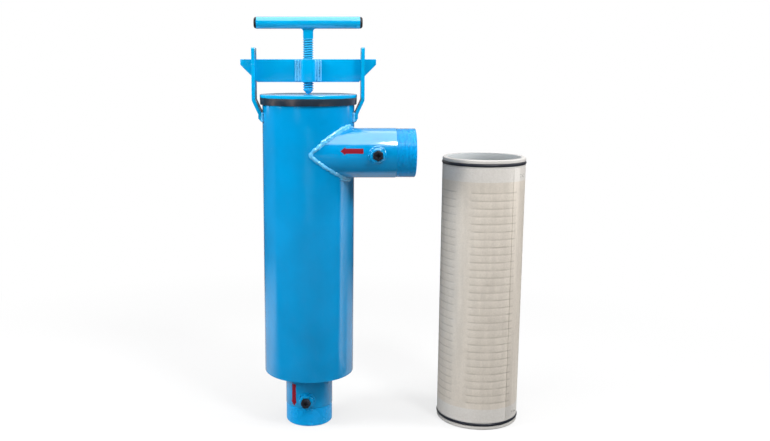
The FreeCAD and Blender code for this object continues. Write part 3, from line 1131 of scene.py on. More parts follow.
@dataclass
class GaugePort:
    """A gauge socket on the front of a pipe, its weld and its plug.

    Attributes:
        pipe: inlet or outlet, the pipe that carries it.
        pipe_axis: The way along the pipe.
        turn: How far the socket is turned from the front, in degrees.
        height: The socket's height over the pipe.
        head_height: The height of the plug's head.
        chamfer: The chamfer round the socket's face.
        port: The radius of the hole in the socket.
        foot: Where the socket starts in the pipe, as a share of the pipe's radius.
        edge: The rounding of the socket's edges.
        weld_reach: How far round the socket the middle of its weld lies.
        across_flats: The plug's width over its flats.
        crown: The height of the cone that takes off the head's corners.
        crown_inset: How far that cone draws the corners in.
        recess: The width of the square recess in the plug's head.
        recess_depth: The recess's depth.
        head_edge: The rounding of the head's edges.
    """

    pipe: str
    pipe_axis: Vector
    turn: float = 0.0
    height: float = 9.0 * MM
    head_height: float = 8.0 * MM
    chamfer: float = 3.0 * MM
    port: float = 6.6 * MM
    foot: float = 0.8
    edge: float = 0.6 * MM
    weld_reach: float = 1.0 * MM
    across_flats: float = 17.0 * MM
    crown: float = 3.4 * MM
    crown_inset: float = 2.2 * MM
    recess: float = 7.0 * MM
    recess_depth: float = 4.0 * MM
    head_edge: float = 0.35 * MM

    def __post_init__(self) -> None:
        """Finds the socket's axis and its sizes in the frame."""
        socket = NodeBox.of(self.pipe + "_gauge_socket")
        plug = NodeBox.of(self.pipe + "_gauge_plug")
        pipe_box = NodeBox.of(self.pipe + "_pipe")
        self.pipe_radius = pipe_box.size.z / 2.0 if self.pipe_axis.x else pipe_box.size.x / 2.0
        foot = pipe_box.middle
        foot -= self.pipe_axis * (foot - plug.middle).dot(self.pipe_axis)
        self.spindle = Spindle(foot, from_front(-math.radians(self.turn)), self.pipe_axis)
        self.radius = socket.size.dot(self.pipe_axis) / 2.0
        self.face = self.pipe_radius + self.height
        self.head = self.face + self.head_height

    def socket(self) -> None:
        """The round boss, saddled to the pipe."""
        foot = self.foot * self.pipe_radius
        profile = [(self.port, foot), (self.radius, foot), (self.radius, self.face - self.chamfer),
                   (self.radius - self.chamfer, self.face), (self.port, self.face)]
        boss = eased(turned(self.pipe + "_socket_boss", profile, self.spindle, 64), self.edge)
        pipe = Spindle(self.spindle.centre, self.pipe_axis, self.spindle.along)
        reach = 2.0 * self.radius
        boss = carved(boss, round_bar(self.pipe_radius, -reach, reach, pipe))
        dressed(boss, "housing", ENAMEL, self.pipe + "_gauge_socket")

    def weld(self, seed: int) -> None:
        """The bead round the socket's foot, on the pipe's round.

        Args:
            seed: The seed of the bead's random draws.
        """
        side = self.spindle.along.cross(self.spindle.outward)
        radius = self.radius + self.weld_reach
        line, steps = [], 48
        for step in range(steps + 1):
            turn = FULL_TURN * step / steps
            across = radius * math.sin(turn)
            depth = math.sqrt(self.pipe_radius ** 2 - across ** 2)
            line.append(self.spindle.at(radius * math.cos(turn), depth) + side * across)
        bead = WeldBead(radius=2.4 * MM, step=2.6 * MM, wander=0.3 * MM, skin=0.6 * MM, seed=seed)
        dressed(bead.along(self.pipe + "_socket_weld", [line]), "housing", ENAMEL)

    def plug(self) -> None:
        """The hexagon plug with the square recess in its head."""
        corner = self.across_flats / math.sqrt(3.0)
        clear_selection()
        bpy.ops.mesh.primitive_cylinder_add(vertices=6, radius=corner, depth=self.head_height)
        head = named_primitive(self.pipe + "_plug_head")
        with editing(head):
            bpy.ops.transform.translate(value=UP * (self.face + self.head_height / 2.0))
        outside = 1.1 * corner
        profile = [(0.0, 0.0), (outside, 0.0), (outside, self.head - self.crown),
                   (corner - self.crown_inset, self.head), (0.0, self.head)]
        carved(head, turned("crown_tool", profile, HOUSING_AXIS, 64, closed=False), Keep.INSIDE)
        half = self.recess / 2.0
        recess = block(Vector((-half, -half, self.head - self.recess_depth)),
                       Vector((half, half, self.head + MM)))
        recess.rotation_euler.z = math.radians(45.0)
        settle(recess)
        eased(carved(head, recess), self.head_edge, 2)
        head.matrix_world = self.spindle.placement()
        settle(head)
        dressed(head, "housing", PLUG_PLASTIC, self.pipe + "_gauge_plug")

    def build(self, seed: int) -> None:
        """Makes the socket, its weld and its plug.

        Args:
            seed: The seed of the weld's random draws.
        """
        self.socket()
        self.weld(seed)
        self.plug()


@dataclass
class PipeBranch:
    """What the inlet and the outlet have in common: a pipe with a threaded end.

    Attributes:
        name: inlet or outlet.
        axis: The pipe's axis.
        wall: The pipe's wall.
        thread_length: The length of the threaded end.
        lead: The chamfer at the thread's mouth.
        lip: The chamfer at the bore's mouth.
        edge: The rounding of the pipe's edges.
        steps: How many faces go round the pipe.
        thread: The end's thread.
    """

    name: str
    axis: Spindle
    wall: float = 4.05 * MM
    thread_length: float = 35.0 * MM
    lead: float = 1.6 * MM
    lip: float = 0.6 * MM
    edge: float = 0.4 * MM
    steps: int = 144
    thread: Thread = Thread(radius=43.94 * MM, depth=1.1 * MM, pitch=25.4 / 11.0 * MM, steps=96)

    def __post_init__(self) -> None:
        """Takes the pipe's place and radii from the frame."""
        self.box = NodeBox.of(self.name + "_pipe")
        self.radius = self.box.size.dot(self.axis.outward) / 2.0
        self.bore = self.radius - self.wall

    def tube(self, start: float, end: float) -> Piece:
        """The plain part of the pipe, between two distances along its axis."""
        profile = [(self.bore, start), (self.radius, start), (self.radius, end), (self.bore, end)]
        return eased(turned(self.name + "_pipe_body", profile, self.axis, self.steps), self.edge)

    def threaded_end(self, shoulder: float, mouth: float) -> None:
        """The hollow threaded end, between the pipe's shoulder and its chamfered mouth.

        Args:
            shoulder: Where the thread starts along the pipe's axis.
            mouth: Where the pipe ends.
        """
        bore, crest = self.bore, self.thread.radius
        away = math.copysign(1.0, mouth - shoulder)
        low, high = sorted((shoulder, mouth))
        rod = self.thread.rod(self.name + "_threaded_end", low, high, self.axis)
        profile = [(bore, shoulder - away * MM), (crest + MM, shoulder - away * MM),
                   (crest + MM, mouth - away * (self.lead + MM)), (crest - self.lead, mouth),
                   (bore + self.lip, mouth), (bore, mouth - away * self.lip)]
        dressed(carved(rod, turned("sleeve_tool", profile, self.axis), Keep.INSIDE), "housing", THREAD_ENAMEL)


@dataclass
class Arrow:
    """A flow arrow cut from red film.

    Attributes:
        length: From tail to tip.
        head_length: The head's length.
        head_width: The head's width.
        shaft_width: The shaft's width.
        film: The film's thickness.
        glue: The glue's thickness.
        strip: The width of the strips that let the film follow the pipe.
    """

    length: float = 40.6 * MM
    head_length: float = 9.0 * MM
    head_width: float = 14.0 * MM
    shaft_width: float = 8.8 * MM
    film: float = 0.12 * MM
    glue: float = 0.05 * MM
    strip: float = 0.9 * MM

    def stick(self, name: str, pipe: Piece, tip: Vector, way: Vector) -> None:
        """Sticks the arrow on the front of a pipe.

        Args:
            name: The new piece's name.
            pipe: The pipe.
            tip: Where the arrow's tip is, in front of the pipe.
            way: The way that the arrow points.
        """
        side = way.cross(-BACK)
        half_head, half_shaft = self.head_width / 2.0, self.shaft_width / 2.0
        upper = [(self.head_length, half_head), (self.head_length, half_shaft), (self.length, half_shaft)]
        corners = [(0.0, 0.0)] + upper + [(back, -across) for back, across in upper[::-1]]
        film = drawn_line(name, [tip - way * back + side * across for back, across in corners])
        with editing(film):
            bpy.ops.mesh.edge_face_add()
            for index in range(1, int(self.head_width / self.strip)):
                bpy.ops.mesh.select_all(action="SELECT")
                bpy.ops.mesh.bisect(plane_co=tip + side * (index * self.strip - half_head), plane_no=side)
        if film.data.polygons[0].normal.y > 0.0:
            with editing(film):
                bpy.ops.mesh.flip_normals()
        with_modifier(film, "SHRINKWRAP", target=pipe, wrap_method="PROJECT", use_project_y=True,
                      use_positive_direction=True, use_negative_direction=True, offset=self.glue)
        with_modifier(film, "SOLIDIFY", thickness=self.film, offset=1.0)
        dressed(film, "housing", ARROW_VINYL)


@dataclass
class InletBranch(PipeBranch):
    """The inlet, which meets the shell tangentially.

    Attributes:
        second_run: How far from the seam the weld's second run lies, at the seam's upper and lower ends.
        upper: Where that run starts and ends over the seam, in degrees up round the pipe from its front.
        lower: Where it starts and ends under the seam.
        line_step: The turn between two points of the seam's line, in degrees.
        tip: Where the arrow's tip is, in front of the pipe.
    """

    name: str = "inlet"
    axis: Spindle = INLET_AXIS
    second_run: float = 3.8 * MM
    upper: tuple[float, float] = (24.0, 92.0)
    lower: tuple[float, float] = (-92.0, -62.0)
    line_step: float = 1.5
    tip: Vector = Vector((57.3, -89.0, 527.0)) * MM

    def saddle(self, first: float = 0.0, last: float = 360.0) -> list[Vector]:
        """The line where the pipe's outside meets the shell's.

        Args:
            first: Where the line starts, in degrees up round the pipe from its front.
            last: Where it ends.

        Returns:
            Points close together on the line.
        """
        line = []
        steps = math.ceil((last - first) / self.line_step)
        for step in range(steps + 1):
            turn = math.radians(first + (last - first) * step / steps)
            y = self.axis.centre.y - self.radius * math.cos(turn)
            z = self.axis.centre.z + self.radius * math.sin(turn)
            line.append(Vector((math.sqrt(max(SHELL_RADIUS ** 2 - y ** 2, 0.0)), y, z)))
        return line

    def build(self) -> None:
        """Makes the pipe, its threaded end, its weld, its gauge port and its arrow."""
        mouth = self.box.high.x
        shoulder = mouth - self.thread_length
        shell = round_bar(SHELL_RADIUS, self.box.low.z - MM, self.box.high.z + MM, HOUSING_AXIS, 224)
        pipe = dressed(carved(self.tube(0.0, shoulder), shell), "housing", ENAMEL, "inlet_pipe")
        self.threaded_end(shoulder, mouth)
        bead = WeldBead(radius=3.7 * MM, step=3.2 * MM, wander=0.6 * MM, skin=0.9 * MM, seed=5)
        over = [place + UP * self.second_run for place in self.saddle(*self.upper)]
        under = [place - UP * self.second_run for place in self.saddle(*self.lower)]
        dressed(bead.along("inlet_weld", [self.saddle(), over, under]), "housing", WELD_HIGHLIGHT_ENAMEL)
        GaugePort("inlet", RIGHT).build(seed=11)
        Arrow().stick("inlet_arrow", pipe, self.tip, -RIGHT)


@dataclass
class OutletBranch(PipeBranch):
    """The outlet under the shell, on which the filter stands.

    Attributes:
        tip: Where the arrow's tip is, in front of the pipe.
    """

    name: str = "outlet"
    axis: Spindle = HOUSING_AXIS
    tip: Vector = Vector((-28.3, -49.45, 37.7)) * MM

    def build(self) -> None:
        """Makes the pipe, its threaded end, its gauge port and its arrow."""
        mouth = self.box.low.z
        shoulder = mouth + self.thread_length
        pipe = dressed(self.tube(shoulder, self.box.high.z), "housing", ENAMEL, "outlet_pipe")
        self.threaded_end(shoulder, mouth)
        GaugePort("outlet", UP, turn=5.8).build(seed=12)
        arrow = Arrow(length=43.0 * MM, shaft_width=7.1 * MM, head_width=10.6 * MM)
        arrow.stick("outlet_arrow", pipe, self.tip, -UP)


@dataclass
class Straps:
    """The two bent bars that hold the yoke, and their welds.

    Attributes:
        thickness: The bars' thickness.
        foot: The height of the foot, up to the bend.
        foot_bevel: The bevel at the foot's lower end.
        inner_bend: The inside radius of the bends.
        top_round: The rounding of the top's corners.
        bend_above_rim: How far above the shell's rim the upper bend is.
        window_margin: The window's room beside the yoke.
        window_below: Its room under the yoke.
        window_above: Its room over the yoke.
        heel: The rounding between the foot's bevel and its outer face.
        edge: The rounding of the bars' edges.
        weld_inset: How far the weld lies inside the foot's edges.
        weld_reach: How far it lies over the shell.
        weld_steps: How many points each stretch of its line has.
    """

    thickness: float = 6.0 * MM
    foot: float = 13.5 * MM
    foot_bevel: float = 4.5 * MM
    inner_bend: float = 3.0 * MM
    top_round: float = 3.0 * MM
    bend_above_rim: float = 2.0 * MM
    window_margin: float = 1.5 * MM
    window_below: float = 14.0 * MM
    window_above: float = 8.0 * MM
    heel: float = 2.0 * MM
    edge: float = 0.7 * MM
    weld_inset: float = 1.0 * MM
    weld_reach: float = 1.6 * MM
    weld_steps: int = 12

    def __post_init__(self) -> None:
        """Takes the yoke's place from the frame."""
        self.yoke = NodeBox.of("yoke_bar_right")

    def window(self, reach: float) -> Piece:
        """The window's cutting tool, from the housing's axis out past the bar, with rounded corners.

        Args:
            reach: How far out the tool reaches, with the side's sign.

        Returns:
            The tool.
        """
        gap = self.yoke.size.y / 2.0 + self.window_margin
        tool = block(Vector((0.0, -gap, self.yoke.low.z - self.window_below)),
                     Vector((reach, gap, self.yoke.high.z + self.window_above)))
        tidy_mesh(tool)
        return edges_rounded(tool, self.top_round, lambda start, end: abs(start.x - end.x) > MM)

    def bar(self, node: str, side: Side) -> Piece:
        """One bent bar with its window.

        Args:
            node: The CAD node.
            side: The bar's side.

        Returns:
            The finished bar.
        """
        box = NodeBox.of(node)
        low, top = box.low.z, box.high.z
        outer = abs(box.low.x) if side is Side.LEFT else box.high.x
        upright = outer - self.thickness
        foot_top = low + self.foot
        foot_outer = SHELL_RADIUS + self.thickness
        bend = SHELL.high.z + self.bend_above_rim
        mitre = self.thickness * math.tan(math.atan2(upright - SHELL_RADIUS, bend - foot_top) / 2.0)
        inner_bend, outer_bend = self.inner_bend, self.inner_bend + self.thickness
        outline = {(SHELL_RADIUS, low): 0.0, (SHELL_RADIUS, foot_top): outer_bend,
                   (upright, bend): inner_bend, (upright, top): 0.0, (outer, top): 0.0,
                   (outer, bend - mitre): outer_bend, (foot_outer, foot_top - mitre): inner_bend,
                   (foot_outer, low + self.foot_bevel): self.heel, (foot_outer - self.foot_bevel, low): 0.0}
        corners = [Vector((x * side.value, box.low.y, z)) for x, z in outline]
        bar = plate(node + "_bar", rounded_outline(corners, list(outline.values())), BACK * box.size.y)
        bar = carved(bar, self.window(2.0 * outer * side.value))
        bar = edges_rounded(bar, self.top_round, lambda start, end: min(start.z, end.z) > top - 0.01 * MM
                            and abs(start.x - end.x) > MM)
        return eased(bar, self.edge)

    def weld_line(self, box: NodeBox, side: Side) -> list[Vector]:
        """The seam down one edge of the foot, under it and up the other edge.

        Args:
            box: The bar's box.
            side: The bar's side.

        Returns:
            The line's points.
        """
        half = box.size.y / 2.0 - self.weld_inset
        low, high = box.low.z + self.weld_inset, box.low.z + self.foot
        stops = [(-half, high), (-half, low), (0.0, low), (half, low), (half, high)]
        line = []
        for (y_start, z_start), (y_end, z_end) in zip(stops, stops[1:]):
            for step in range(self.weld_steps):
                y = y_start + (y_end - y_start) * step / self.weld_steps
                z = z_start + (z_end - z_start) * step / self.weld_steps
                reach = math.sqrt(SHELL_RADIUS ** 2 - y ** 2) + self.weld_reach
                line.append(Vector((side.value * reach, y, z)))
        return line

    def build(self) -> None:
        """Makes both bars and their welds."""
        for side in Side:
            node = side.name.lower() + "_strap"
            dressed(self.bar(node, side), "housing", LIT_CLAMP_ENAMEL, node)
            bead = WeldBead(radius=3.0 * MM, step=3.2 * MM, wander=0.6 * MM, seed=20 + side.value)
            line = self.weld_line(NodeBox.of(node), side)
            dressed(bead.along(node + "_weld", [line]), "housing", WELD_HIGHLIGHT_ENAMEL)


@dataclass
class Lid:
    """The flat lid and the rubber band round the rim under it.

    Attributes:
        bore: The band's inner radius.
        taper: How much the band narrows downwards.
        crown: How far under the band's top its outside turns upright.
        dimple: The radius of the hollow that the screw's point has pressed.
        dimple_depth: The hollow's depth.
        dimple_floor: The share of its radius that is nearly flat.
        dimple_wall: How deep its sloping wall reaches.
        band_edge: The rounding of the band's edges.
        lid_edge: The rounding of the lid's edges.
        steps: How many faces go round.
    """

    bore: float = 78.75 * MM
    taper: float = 0.6 * MM
    crown: float = 1.5 * MM
    dimple: float = 6.0 * MM
    dimple_depth: float = 0.3 * MM
    dimple_floor: float = 0.4
    dimple_wall: float = 0.25 * MM
    band_edge: float = 0.8 * MM
    lid_edge: float = 0.9 * MM
    steps: int = 224

    def build(self) -> None:
        """Makes the band and the lid."""
        band = NodeBox.of("lid_gasket")
        outer, low, high, rim = band.size.x / 2.0, band.low.z, band.high.z, SHELL.high.z
        profile = [(self.bore, rim), (SHELL_RADIUS, rim), (SHELL_RADIUS, low), (outer - self.taper, low),
                   (outer, high - self.crown), (outer, high), (self.bore, high)]
        gasket = eased(turned("rim_band", profile, HOUSING_AXIS, self.steps), self.band_edge)
        dressed(gasket, "housing", GASKET_RUBBER, "lid_gasket")
        disc = NodeBox.of("lid_plate")
        edge, low, high = disc.size.x / 2.0, disc.low.z, disc.high.z
        profile = [(0.0, low), (edge, low), (edge, high), (self.dimple, high),
                   (self.dimple_floor * self.dimple, high - self.dimple_wall),
                   (0.0, high - self.dimple_depth)]
        lid = eased(turned("lid_disc", profile, HOUSING_AXIS, self.steps, closed=False), self.lid_edge)
        dressed(lid, "lid", LIT_CLAMP_ENAMEL, "lid_plate")


@dataclass
class Yoke:
    """The crossbar: two bars on edge welded to a long nut.

    Attributes:
        corner_cut: The length of the 45 degree cuts.
        corner_round: The rounding of a cut's lower corner and of the bar's top corner.
        end_round: The rounding of a cut's upper corner.
        edge: The rounding of the bars' and the nut's edges.
        bore: The nut's bore.
        run: The radius of one run of weld.
        nut_leg: How far the welds reach up the nut's flanks.
        tuck: How far the bars reach in past the nut's corners.
    """

    corner_cut: float = 31.0 * MM
    corner_round: float = 1.5 * MM
    end_round: float = 2.5 * MM
    edge: float = 0.8 * MM
    bore: float = 9.6 * MM
    run: float = 2.2 * MM
    nut_leg: float = 6.5 * MM
    tuck: float = 4.0 * MM

    def __post_init__(self) -> None:
        """Takes the nut's place from the frame."""
        self.nut = NodeBox.of("yoke_nut")

    def bar(self, side: Side) -> None:
        """One bar, from inside the nut's corner to its cut end.

        Args:
            side: The bar's side.
        """
        node = "yoke_bar_" + side.name.lower()
        box = NodeBox.of(node)
        end = max(abs(box.low.x), abs(box.high.x))
        start = self.nut.size.x / 2.0 - self.tuck
        corners = [(start, box.low.z), (end - self.corner_cut, box.low.z), (end, box.low.z + self.corner_cut),
                   (end, box.high.z), (start, box.high.z)]
        outline = rounded_outline([Vector((x * side.value, box.low.y, z)) for x, z in corners],
                                  [0.0, self.corner_round, self.end_round, self.corner_round, 0.0])
        bar = eased(plate(node + "_plate", outline, BACK * box.size.y), self.edge)
        dressed(bar, "yoke", LIT_CLAMP_ENAMEL, node)

    def long_nut(self) -> None:
        """The hexagon, with a corner towards each bar, and its bore."""
        box = self.nut
        corner = box.size.x / 2.0
        clear_selection()
        bpy.ops.mesh.primitive_cylinder_add(vertices=6, radius=corner, depth=box.size.z, location=box.middle,
                                            rotation=(0.0, 0.0, math.radians(30.0)))
        nut = named_primitive("long_nut")
        settle(nut)
        nut = carved(nut, round_bar(self.bore, box.low.z - MM, box.high.z + MM, HOUSING_AXIS, 64))
        dressed(eased(nut, self.edge), "yoke", LIT_CLAMP_ENAMEL, "yoke_nut")

    def beads(self) -> None:
        """The four fillets between the bars and the nut, each of several upright runs."""
        box = NodeBox.of("yoke_weld_beads")
        half_bar = NodeBox.of("yoke_bar_right").size.y / 2.0
        corner = self.nut.size.x / 2.0 - half_bar / math.sqrt(3.0)
        toe = Vector((box.size.x / 2.0 - self.run, half_bar + 0.4 * self.run, 0.0))
        rise = self.nut_leg * math.sqrt(0.75)
        flank = Vector((corner - self.nut_leg / 2.0, half_bar + rise - self.run, 0.0))
        lines = []
        for side in Side:
            for front in (-1.0, 1.0):
                for share in (0.0, 0.5, 1.0):
                    place = toe.lerp(flank, share)
                    start = Vector((side.value * place.x, front * place.y, box.low.z + self.run))
                    lines.append([start, start + UP * (box.size.z - 2.0 * self.run)])
        bead = WeldBead(radius=self.run, step=1.5 * MM, wander=0.16 * MM, skin=0.6 * MM, seed=31)
        dressed(bead.along("nut_welds", lines), "yoke", WELD_HIGHLIGHT_ENAMEL, "yoke_weld_beads")

    def build(self) -> None:
        """Makes the bars, the nut and the beads."""
        for side in Side:
            self.bar(side)
        self.long_nut()
        self.beads()


@dataclass
class ClampScrew:
    """The threaded rod with its point, and the tee handle with its caps.

    Attributes:
        thread: The rod's thread.
        root_step: How much thinner the cone is than the rod.
        neck: The length of the plain neck under the handle.
        neck_step: How far the neck is drawn in where it meets the thread.
        neck_chamfer: The height of the chamfer over that step.
        skin: The size of the remeshed neck's faces.
        fillet: The leg of the weld under the handle.
        tube_wall: The handle tube's wall.
        tube_edge: The rounding of the tube's edges.
        nose: The radius of the point's end.
        land: The height of the plain band over the cone.
        point_edge: The rounding of the cone's edges.
        plug_length: How far the caps reach into the tube.
        cap_head: The length of the caps' heads.
        dome: The rounding of the caps' heads.
        cap_slack: The caps' room in the tube.
    """

    thread: Thread = Thread(9.525 * MM, depth=2.0 * MM, pitch=25.4 / 6.0 * MM, crest=0.4, groove=0.2,
                            steps=64)
    root_step: float = 0.4 * MM
    neck: float = 17.0 * MM
    neck_step: float = 0.6 * MM
    neck_chamfer: float = 0.8 * MM
    skin: float = 0.6 * MM
    fillet: float = 4.6 * MM
    tube_wall: float = 2.6 * MM
    tube_edge: float = 0.5 * MM
    nose: float = 2.8 * MM
    land: float = 0.6 * MM
    point_edge: float = 0.8 * MM
    plug_length: float = 14.0 * MM
    cap_head: float = 4.6 * MM
    dome: float = 4.3 * MM
    cap_slack: float = 0.05 * MM

    def __post_init__(self) -> None:
        """Takes the handle's place from the frame."""
        size = NodeBox.of("tee_handle").size
        self.tube_axis = level_axis("tee_handle")
        self.tube_radius = size.z / 2.0
        self.half_tube = size.x / 2.0

    def point(self) -> None:
        """The blunt cone that presses on the lid."""
        box = NodeBox.of("screw_point")
        root = self.thread.radius - self.root_step
        profile = [(0.0, box.low.z), (self.nose, box.low.z), (root, box.high.z - self.land),
                   (root, box.high.z), (0.0, box.high.z)]
        cone = eased(turned("screw_cone", profile, HOUSING_AXIS, 64, closed=False), self.point_edge)
        dressed(cone, "point", LIT_CLAMP_ENAMEL, "screw_point")

    def rod(self) -> None:
        """The thread, the plain neck and the weld that flares into the handle."""
        handle = self.tube_axis.centre.z
        under = handle - self.tube_radius
        start = under - self.neck
        thread = self.thread.rod("rod_thread", NodeBox.of("clamp_screw").low.z, start, HOUSING_AXIS)
        plain = self.thread.radius
        stub, flare, top = plain - self.neck_step, plain + self.fillet, handle - self.fillet
        profile = [(0.0, start - MM), (stub, start - MM), (stub, start), (plain, start + self.neck_chamfer)]
        profile += quarter_arc(flare, under - self.fillet, self.fillet, -1.0, 8) + [(flare, top), (0.0, top)]
        neck = self.drawn_in(turned("rod_neck", profile, HOUSING_AXIS, 64, closed=False), profile)
        reach = 3.0 * self.tube_radius
        neck = carved(neck, round_bar(self.tube_radius - MM, -reach, reach, self.tube_axis, 64))
        neck = with_modifier(neck, "REMESH", mode="VOXEL", voxel_size=self.skin)
        neck = with_modifier(neck, "SMOOTH", factor=0.5, iterations=3)
        dressed(thread, "screw", SCREW_ENAMEL, "clamp_screw")
        dressed(neck, "screw", LIT_CLAMP_ENAMEL)

    def drawn_in(self, neck: Piece, profile: Profile) -> Piece:
        """Draws the flare in from front and back, so that it spreads only along the handle.

        Args:
            neck: The round neck.
            profile: The profile that it was turned from.

        Returns:
            The same piece.
        """
        plain = self.thread.radius
        for radius, height in profile:
            if radius <= plain:
                continue
            for vertex in neck.data.vertices:
                vertex.select = abs(vertex.co.z - height) < 0.01 * MM
            with editing(neck, everything=False):
                bpy.ops.transform.resize(value=(1.0, plain / radius, 1.0), center_override=(0.0, 0.0, height))
        return neck

    def handle(self) -> None:
        """The tube across the top of the rod."""
        outer, inner, half = self.tube_radius, self.tube_radius - self.tube_wall, self.half_tube
        profile = [(inner, -half), (outer, -half), (outer, half), (inner, half)]
        tube = eased(turned("handle_tube", profile, self.tube_axis, 64), self.tube_edge)
        dressed(tube, "screw", LIT_CLAMP_ENAMEL, "tee_handle")

    def cap(self, side: Side) -> None:
        """One domed plastic cap, pushed into the tube's end.

        Args:
            side: The cap's side.
        """
        node = "handle_cap_" + side.name.lower()
        head = NodeBox.of(node).size.z / 2.0
        stem = self.tube_radius - self.tube_wall - self.cap_slack
        base = self.half_tube
        plug_end = base - self.plug_length
        profile = [(0.0, plug_end), (stem, plug_end), (stem, base), (head, base)]
        profile += quarter_arc(head - self.dome, base + self.cap_head - self.dome, self.dome, 1.0, 6)
        profile.append((0.0, base + self.cap_head))
        outward = Spindle(self.tube_axis.centre, RIGHT * side.value, UP)
        cap = turned(node + "_dome", profile, outward, 48, closed=False)
        dressed(cap, "screw", CAP_PLASTIC, node)

    def build(self) -> None:
        """Makes the point, the rod, the handle and its caps."""
        self.point()
        self.rod()
        self.handle()
        for side in Side:
            self.cap(side)


@dataclass
class ScreenElement:
    """The filter element: slotted tube, end collars, O-rings and the wire cloth with its seam.

    Attributes:
        wall: The wall of the tube with its collars.
        skirt: The wall of a collar's skirt, inside the cloth.
        skirt_length: The skirt's length.
        head: The height of a collar's head.
        groove_slack: The groove's room beside the O-ring.
        edge: The chamfer at the collars' ends.
        collar_edge: The rounding of the collars' edges.
        parting: How far the mould's parting line stands out on the O-rings.
        slots: The tube's slots.
        cloth_wall: The cloth's thickness.
        dent: How far the cloth sinks over a slot.
        creases: Where the cloth bends over and under a slot's middle, in millimetres.
        seam_turn: The turn of the cloth's seam from the front, in degrees.
        seam_width: The seam's width.
        seam_gap: The room between the cloth and the seam's strip.
        seam_wall: The strip's thickness.
        seam_edge: The rounding of the strip's edges.
        first_tack: The height of the first tack, which the others join.
        tack_rows: The other tacks' rows, in millimetres from the strip's lower end or, below 0, its upper.
        tack_columns: Their places across the strip, as shares of its width.
        steps: How many faces go round a collar or an O-ring.
        cloth_steps: How many go round the cloth.
    """

    wall: float = 8.3 * MM
    skirt: float = 2.5 * MM
    skirt_length: float = 25.0 * MM
    head: float = 15.0 * MM
    groove_slack: float = 0.2 * MM
    edge: float = 1.2 * MM
    collar_edge: float = 0.5 * MM
    parting: float = 0.04 * MM
    slots: SlotPattern = SlotPattern()
    cloth_wall: float = 0.55 * MM
    dent: float = 0.16 * MM
    creases: tuple[float, ...] = (-2.2, -0.7, 0.7, 2.2)
    seam_turn: float = 55.0
    seam_width: float = 18.0 * MM
    seam_gap: float = 0.05 * MM
    seam_wall: float = 0.5 * MM
    seam_edge: float = 0.15 * MM
    first_tack: float = 12.0 * MM
    tack_rows: tuple[float, ...] = (8.0, 11.0, -14.0, -18.0)
    tack_columns: tuple[float, ...] = (0.15, 0.5, 0.8)
    steps: int = 192
    cloth_steps: int = 240

    def __post_init__(self) -> None:
        """Takes the element's axis and radii from the frame, and makes its finishes."""
        self.cloth_box = NodeBox.of("screen_mesh")
        self.radius = self.cloth_box.size.x / 2.0
        self.tube_radius = NodeBox.of("screen_support_tube").size.x / 2.0
        self.bore = self.radius - self.wall
        self.skirt_end = self.head + self.skirt_length
        middle = self.cloth_box.middle
        self.axis = Spindle(Vector((middle.x, middle.y, 0.0)), UP, -BACK)
        self.top = NodeBox.of("screen_top_collar").high.z
        self.cloth_coat = Coat(Slot.CLOTH, WireCloth("woven_wire", self.axis.centre, self.radius, self.slots,
                                                     self.skirt_end, self.top - self.skirt_end))
        self.tube_coat = Coat(Slot.TUBE, PipePlastic("grey_pipe_plastic", self.axis.centre, self.bore))

    def slot_tools(self) -> Piece:
        """All the saw cuts as one tool.

        Returns:
            The tool.
        """
        slots = self.slots
        chord = self.tube_radius * math.cos(slots.arc / 2.0)
        width = 2.0 * self.tube_radius * math.sin(slots.arc / 2.0)
        middle = self.axis.at(0.0, slots.first) + from_front(slots.turn) * (chord + self.tube_radius / 2.0)
        clear_selection()
        bpy.ops.mesh.primitive_cube_add(size=1.0, location=middle, rotation=(0.0, 0.0, slots.turn),
                                        scale=(width, self.tube_radius, slots.height))
        cuts = named_primitive("slot_tools")
        settle(cuts)
        with_modifier(cuts, "ARRAY", count=len(slots.rows), use_relative_offset=False,
                      use_constant_offset=True, constant_offset_displace=(0.0, 0.0, slots.pitch))
        others = slots.columns - 1
        with editing(cuts):
            bpy.ops.mesh.spin(steps=others, dupli=True, angle=others * slots.column_step,
                              center=self.axis.centre, axis=UP)
        return cuts

    def support_tube(self) -> None:
        """The slotted tube, turned down at both ends to fit in the collars."""
        outer, inner = self.tube_radius, self.tube_radius - self.skirt
        lower = [(self.bore, self.head), (inner, self.head), (inner, self.skirt_end), (outer, self.skirt_end)]
        profile = lower + [(radius, self.top - height) for radius, height in lower[::-1]]
        tube = carved(turned("slotted_tube", profile, self.axis), self.slot_tools())
        dressed(tube, "screen", self.tube_coat, "screen_support_tube")

    def collar(self, end: str) -> None:
        """One end collar with the O-ring's groove.

        Args:
            end: bottom or top.
        """
        ring = NodeBox.of("screen_" + end + "_oring")
        base, way = (0.0, 1.0) if end == "bottom" else (self.top, -1.0)
        height = abs(ring.middle.z - base)
        half_groove = ring.size.z / 2.0 + self.groove_slack
        low, high = height - half_groove, height + half_groove
        groove = ring.size.x / 2.0 - ring.size.z
        skin, outer, inner = self.radius, self.tube_radius, self.tube_radius - self.skirt
        profile = [(self.bore, 0.0), (skin - self.edge, 0.0), (skin, self.edge), (skin, low), (groove, low),
                   (groove, high), (skin, high), (skin, self.head), (outer, self.head),
                   (outer, self.skirt_end), (inner, self.skirt_end), (inner, self.head),
                   (self.bore, self.head)]
        profile = [(radius, base + way * rise) for radius, rise in profile]
        piece = eased(turned(end + "_collar", profile, self.axis, self.steps), self.collar_edge, 2)
        dressed(piece, "screen", self.tube_coat, "screen_" + end + "_collar")

